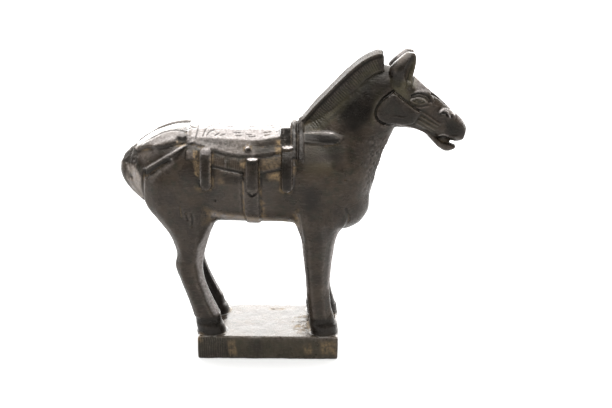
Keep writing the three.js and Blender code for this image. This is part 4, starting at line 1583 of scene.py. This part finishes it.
def amount_property(name, description, value, least=0.0, most=100.0):
    """A plain number between two limits."""
    return FloatProperty(name=name, description=description, default=value, min=least, max=most)


def colour_property(name, description, value):
    """A colour in linear light."""
    return FloatVectorProperty(
        name=name, description=description, default=value, subtype="COLOR", min=0, max=1
    )


class HorseSizes(bpy.types.PropertyGroup):
    """Sizes of the figure"""

    horse_height: size_property("Horse height", "From the plinth's top to the ear tips", 0.137)
    plinth_length: size_property("Plinth length", "Length of the slab", 0.068)
    plinth_width: size_property("Plinth width", "Width of the slab", 0.037)
    plinth_height: size_property("Plinth height", "Height of the slab", 0.012)
    plinth_edge: size_property("Plinth edge", "Rounding of the slab's edges", 0.0009)
    strap_rise: size_property("Strap rise", "How far the hanging straps stand out", 0.0022)
    flap_rise: size_property("Flap rise", "How far the saddle flaps stand out", 0.0016)
    band_rise: size_property("Band rise", "How far the withers bands stand out", 0.0018)
    thin_rise: size_property("Thin rise", "How far crupper and breeching stand out", 0.0013)
    face_limit: IntProperty(
        name="Face limit", description="Most triangles of the finished skin", default=190000, min=20000
    )


class ClayLooks(bpy.types.PropertyGroup):
    """Colours and gloss of the clay"""

    dark_clay: colour_property("Dark clay", "Main colour of the clay", (0.029, 0.022, 0.017))
    brown_clay: colour_property("Brown clay", "Warmer patches", (0.052, 0.039, 0.028))
    green_clay: colour_property("Green clay", "Greenish patches", (0.020, 0.023, 0.015))
    worn_clay: colour_property("Worn clay", "Edges and scratches", (0.13, 0.11, 0.095))
    # Pale paint: rubbed clay, and painted highlights on the seat, the ledges, the ears, the face and
    # some strap edges
    rubbed_clay_and_highlight: colour_property("Rubbed clay", "The seat and other pale places", (0.45, 0.42, 0.41))
    olive_tint: colour_property("Olive tint", "Neck, mane foot and brow", (0.075, 0.067, 0.04))
    # Dark paint: soot, and painted shade in grooves, hollows, under edges, under the mane and between
    # the legs
    soot_and_shade: colour_property("Soot", "Dark places and pressed lines", (0.006, 0.005, 0.004))
    earth: colour_property("Earth", "Dry earth left in the hollows", (0.22, 0.16, 0.092))
    sheen_tint: colour_property("Sheen tint", "Tint of the burnish", (1, 0.97, 0.94))
    roughness: amount_property("Roughness", "Roughness of the burnished clay", 0.26, 0, 1)
    ior: amount_property("Sheen index", "Index of refraction of the burnish", 1.42, 1, 2)
    bump: amount_property("Grain depth", "Strength of the fine grain", 0.6, 0, 1)


class StageSettings(bpy.types.PropertyGroup):
    """Floor, light and camera"""

    front_light: amount_property("Front light", "Brightness on the camera's side", 0.3)
    back_light: amount_property("Back light", "Brightness behind the figure", 8)
    top_light: amount_property("Top light", "Brightness overhead", 7)
    floor_tone: amount_property("Floor tone", "Reflectance of the floor", 0.25, 0, 1)
    floor_glow: amount_property("Floor glow", "Light from the white table itself", 0.45)
    gamma: amount_property("Gamma", "Contrast of the finished picture", 0.8, 0.1, 5)
    lens: amount_property("Lens", "Focal length of the camera in millimetres", 58.82, 10, 300)


class HORSE_OT_model(bpy.types.Operator):
    """Models the horse, its harness and its plinth as one moulded piece"""

    bl_idname = "clay_horse.model"
    bl_label = "Model the horse"

    def execute(self, context):
        sizes = context.scene.horse_sizes
        step = sizes.horse_height / GRID_STEPS
        lift = sizes.plinth_height / step
        horse = whole_figure(sizes, step)
        co, normals = coordinates(horse), outward(horse)
        relief = carved_relief(co, normals) + hair_relief(co, normals) + cast_relief(co, normals)
        co += normals * relief[:, None]
        low, high = (np.asarray(corner) / step - (0, 0, lift) for corner in CAD_BOX)
        place(horse, np.clip(co, low + BOX_MARGIN, high - BOX_MARGIN))
        mark_surface(horse)
        triangles = sum(len(face.vertices) - 2 for face in horse.data.polygons)
        apply_modifier(horse, "DECIMATE", ratio=min(1, sizes.face_limit / triangles))
        select_only(horse)
        bpy.ops.transform.translate(value=(0, 0, lift))
        horse.scale = (step, step, step)
        horse.location.z *= step
        bpy.ops.object.transform_apply(location=True, rotation=True, scale=True)
        bpy.ops.object.shade_smooth()
        horse.name = horse.data.name = PIECE
        horse.data.materials.clear()
        horse.data.materials.append(clay_material(context.scene.clay_looks))
        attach(horse, "root")
        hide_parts(NODE)
        return {"FINISHED"}


class HORSE_OT_stage(bpy.types.Operator):
    """Lays the pale floor, sets the soft light and stands the camera"""

    bl_idname = "clay_horse.stage"
    bl_label = "Set the stage"

    def execute(self, context):
        stage = context.scene.stage_settings
        bpy.ops.object.select_all(action="DESELECT")
        bpy.ops.mesh.primitive_plane_add(size=FLOOR_SIZE)
        floor = bpy.context.object
        floor.name = "floor"
        pale = bpy.data.materials.new("pale_floor")
        pale.use_nodes = True
        shader = pale.node_tree.nodes["Principled BSDF"]
        shader.inputs["Base Color"].default_value = (*[stage.floor_tone] * 3, 1)
        shader.inputs["Roughness"].default_value = 0.9
        shader.inputs["Emission Color"].default_value = (1, 1, 0.985, 1)
        shader.inputs["Emission Strength"].default_value = stage.floor_glow
        floor.data.materials.append(pale)

        world = bpy.data.worlds.new("studio")
        world.use_nodes = True
        context.scene.world = world
        sheet = NodeSheet(world.node_tree)
        direction = sheet.add("ShaderNodeTexCoord").outputs["Generated"]
        parts = sheet.add("ShaderNodeSeparateXYZ", Vector=direction)
        height = parts.outputs["Z"]
        below_top = sheet.span(height, 0.85, 0.6)
        behind = sheet.math("MULTIPLY", sheet.span(parts.outputs["Y"], 0.3, 0.7), below_top)
        overhead = sheet.span(height, 0.6, 0.9, stage.front_light, stage.top_light)
        level = sheet.math("ADD", sheet.math("MULTIPLY", behind, stage.back_light), overhead)
        back = sheet.add("ShaderNodeBackground", Color=(1, 1, 1, 1), Strength=level)
        sheet.add("ShaderNodeOutputWorld", Surface=back.outputs[0])

        turn = [math.radians(angle) for angle in CAMERA_TURN]
        bpy.ops.object.camera_add(location=CAMERA_SPOT, rotation=turn)
        camera = bpy.context.object
        camera.data.lens = stage.lens
        camera.data.clip_start = CAMERA_NEAR
        context.scene.camera = camera
        context.scene.view_settings.view_transform = "Standard"
        context.scene.view_settings.gamma = stage.gamma
        return {"FINISHED"}


class HORSE_PT_panel(bpy.types.Panel):
    """Sidebar panel of the clay horse"""

    bl_label = "Clay horse"
    bl_idname = "HORSE_PT_panel"
    bl_space_type = "VIEW_3D"
    bl_region_type = "UI"
    bl_category = "Clay horse"

    def draw(self, context):
        for name in ("horse_sizes", "clay_looks", "stage_settings"):
            group = getattr(context.scene, name)
            box = self.layout.box()
            for key in group.bl_rna.properties.keys():
                if key not in ("rna_type", "name"):
                    box.prop(group, key)
        self.layout.operator(HORSE_OT_model.bl_idname)
        self.layout.operator(HORSE_OT_stage.bl_idname)


CLASSES = (HorseSizes, ClayLooks, StageSettings, HORSE_OT_model, HORSE_OT_stage, HORSE_PT_panel)


def register():
    """Makes the settings, the tools and the panel known."""
    for kind in CLASSES:
        bpy.utils.register_class(kind)
    bpy.types.Scene.horse_sizes = PointerProperty(type=HorseSizes)
    bpy.types.Scene.clay_looks = PointerProperty(type=ClayLooks)
    bpy.types.Scene.stage_settings = PointerProperty(type=StageSettings)


def unregister():
    """Takes away what register added."""
    del bpy.types.Scene.horse_sizes, bpy.types.Scene.clay_looks, bpy.types.Scene.stage_settings
    for kind in reversed(CLASSES):
        bpy.utils.unregister_class(kind)


def main():
    """Models the horse and sets the stage."""
    register()
    bpy.ops.clay_horse.model()
    bpy.ops.clay_horse.stage()


if __name__ == "__main__":
    main()
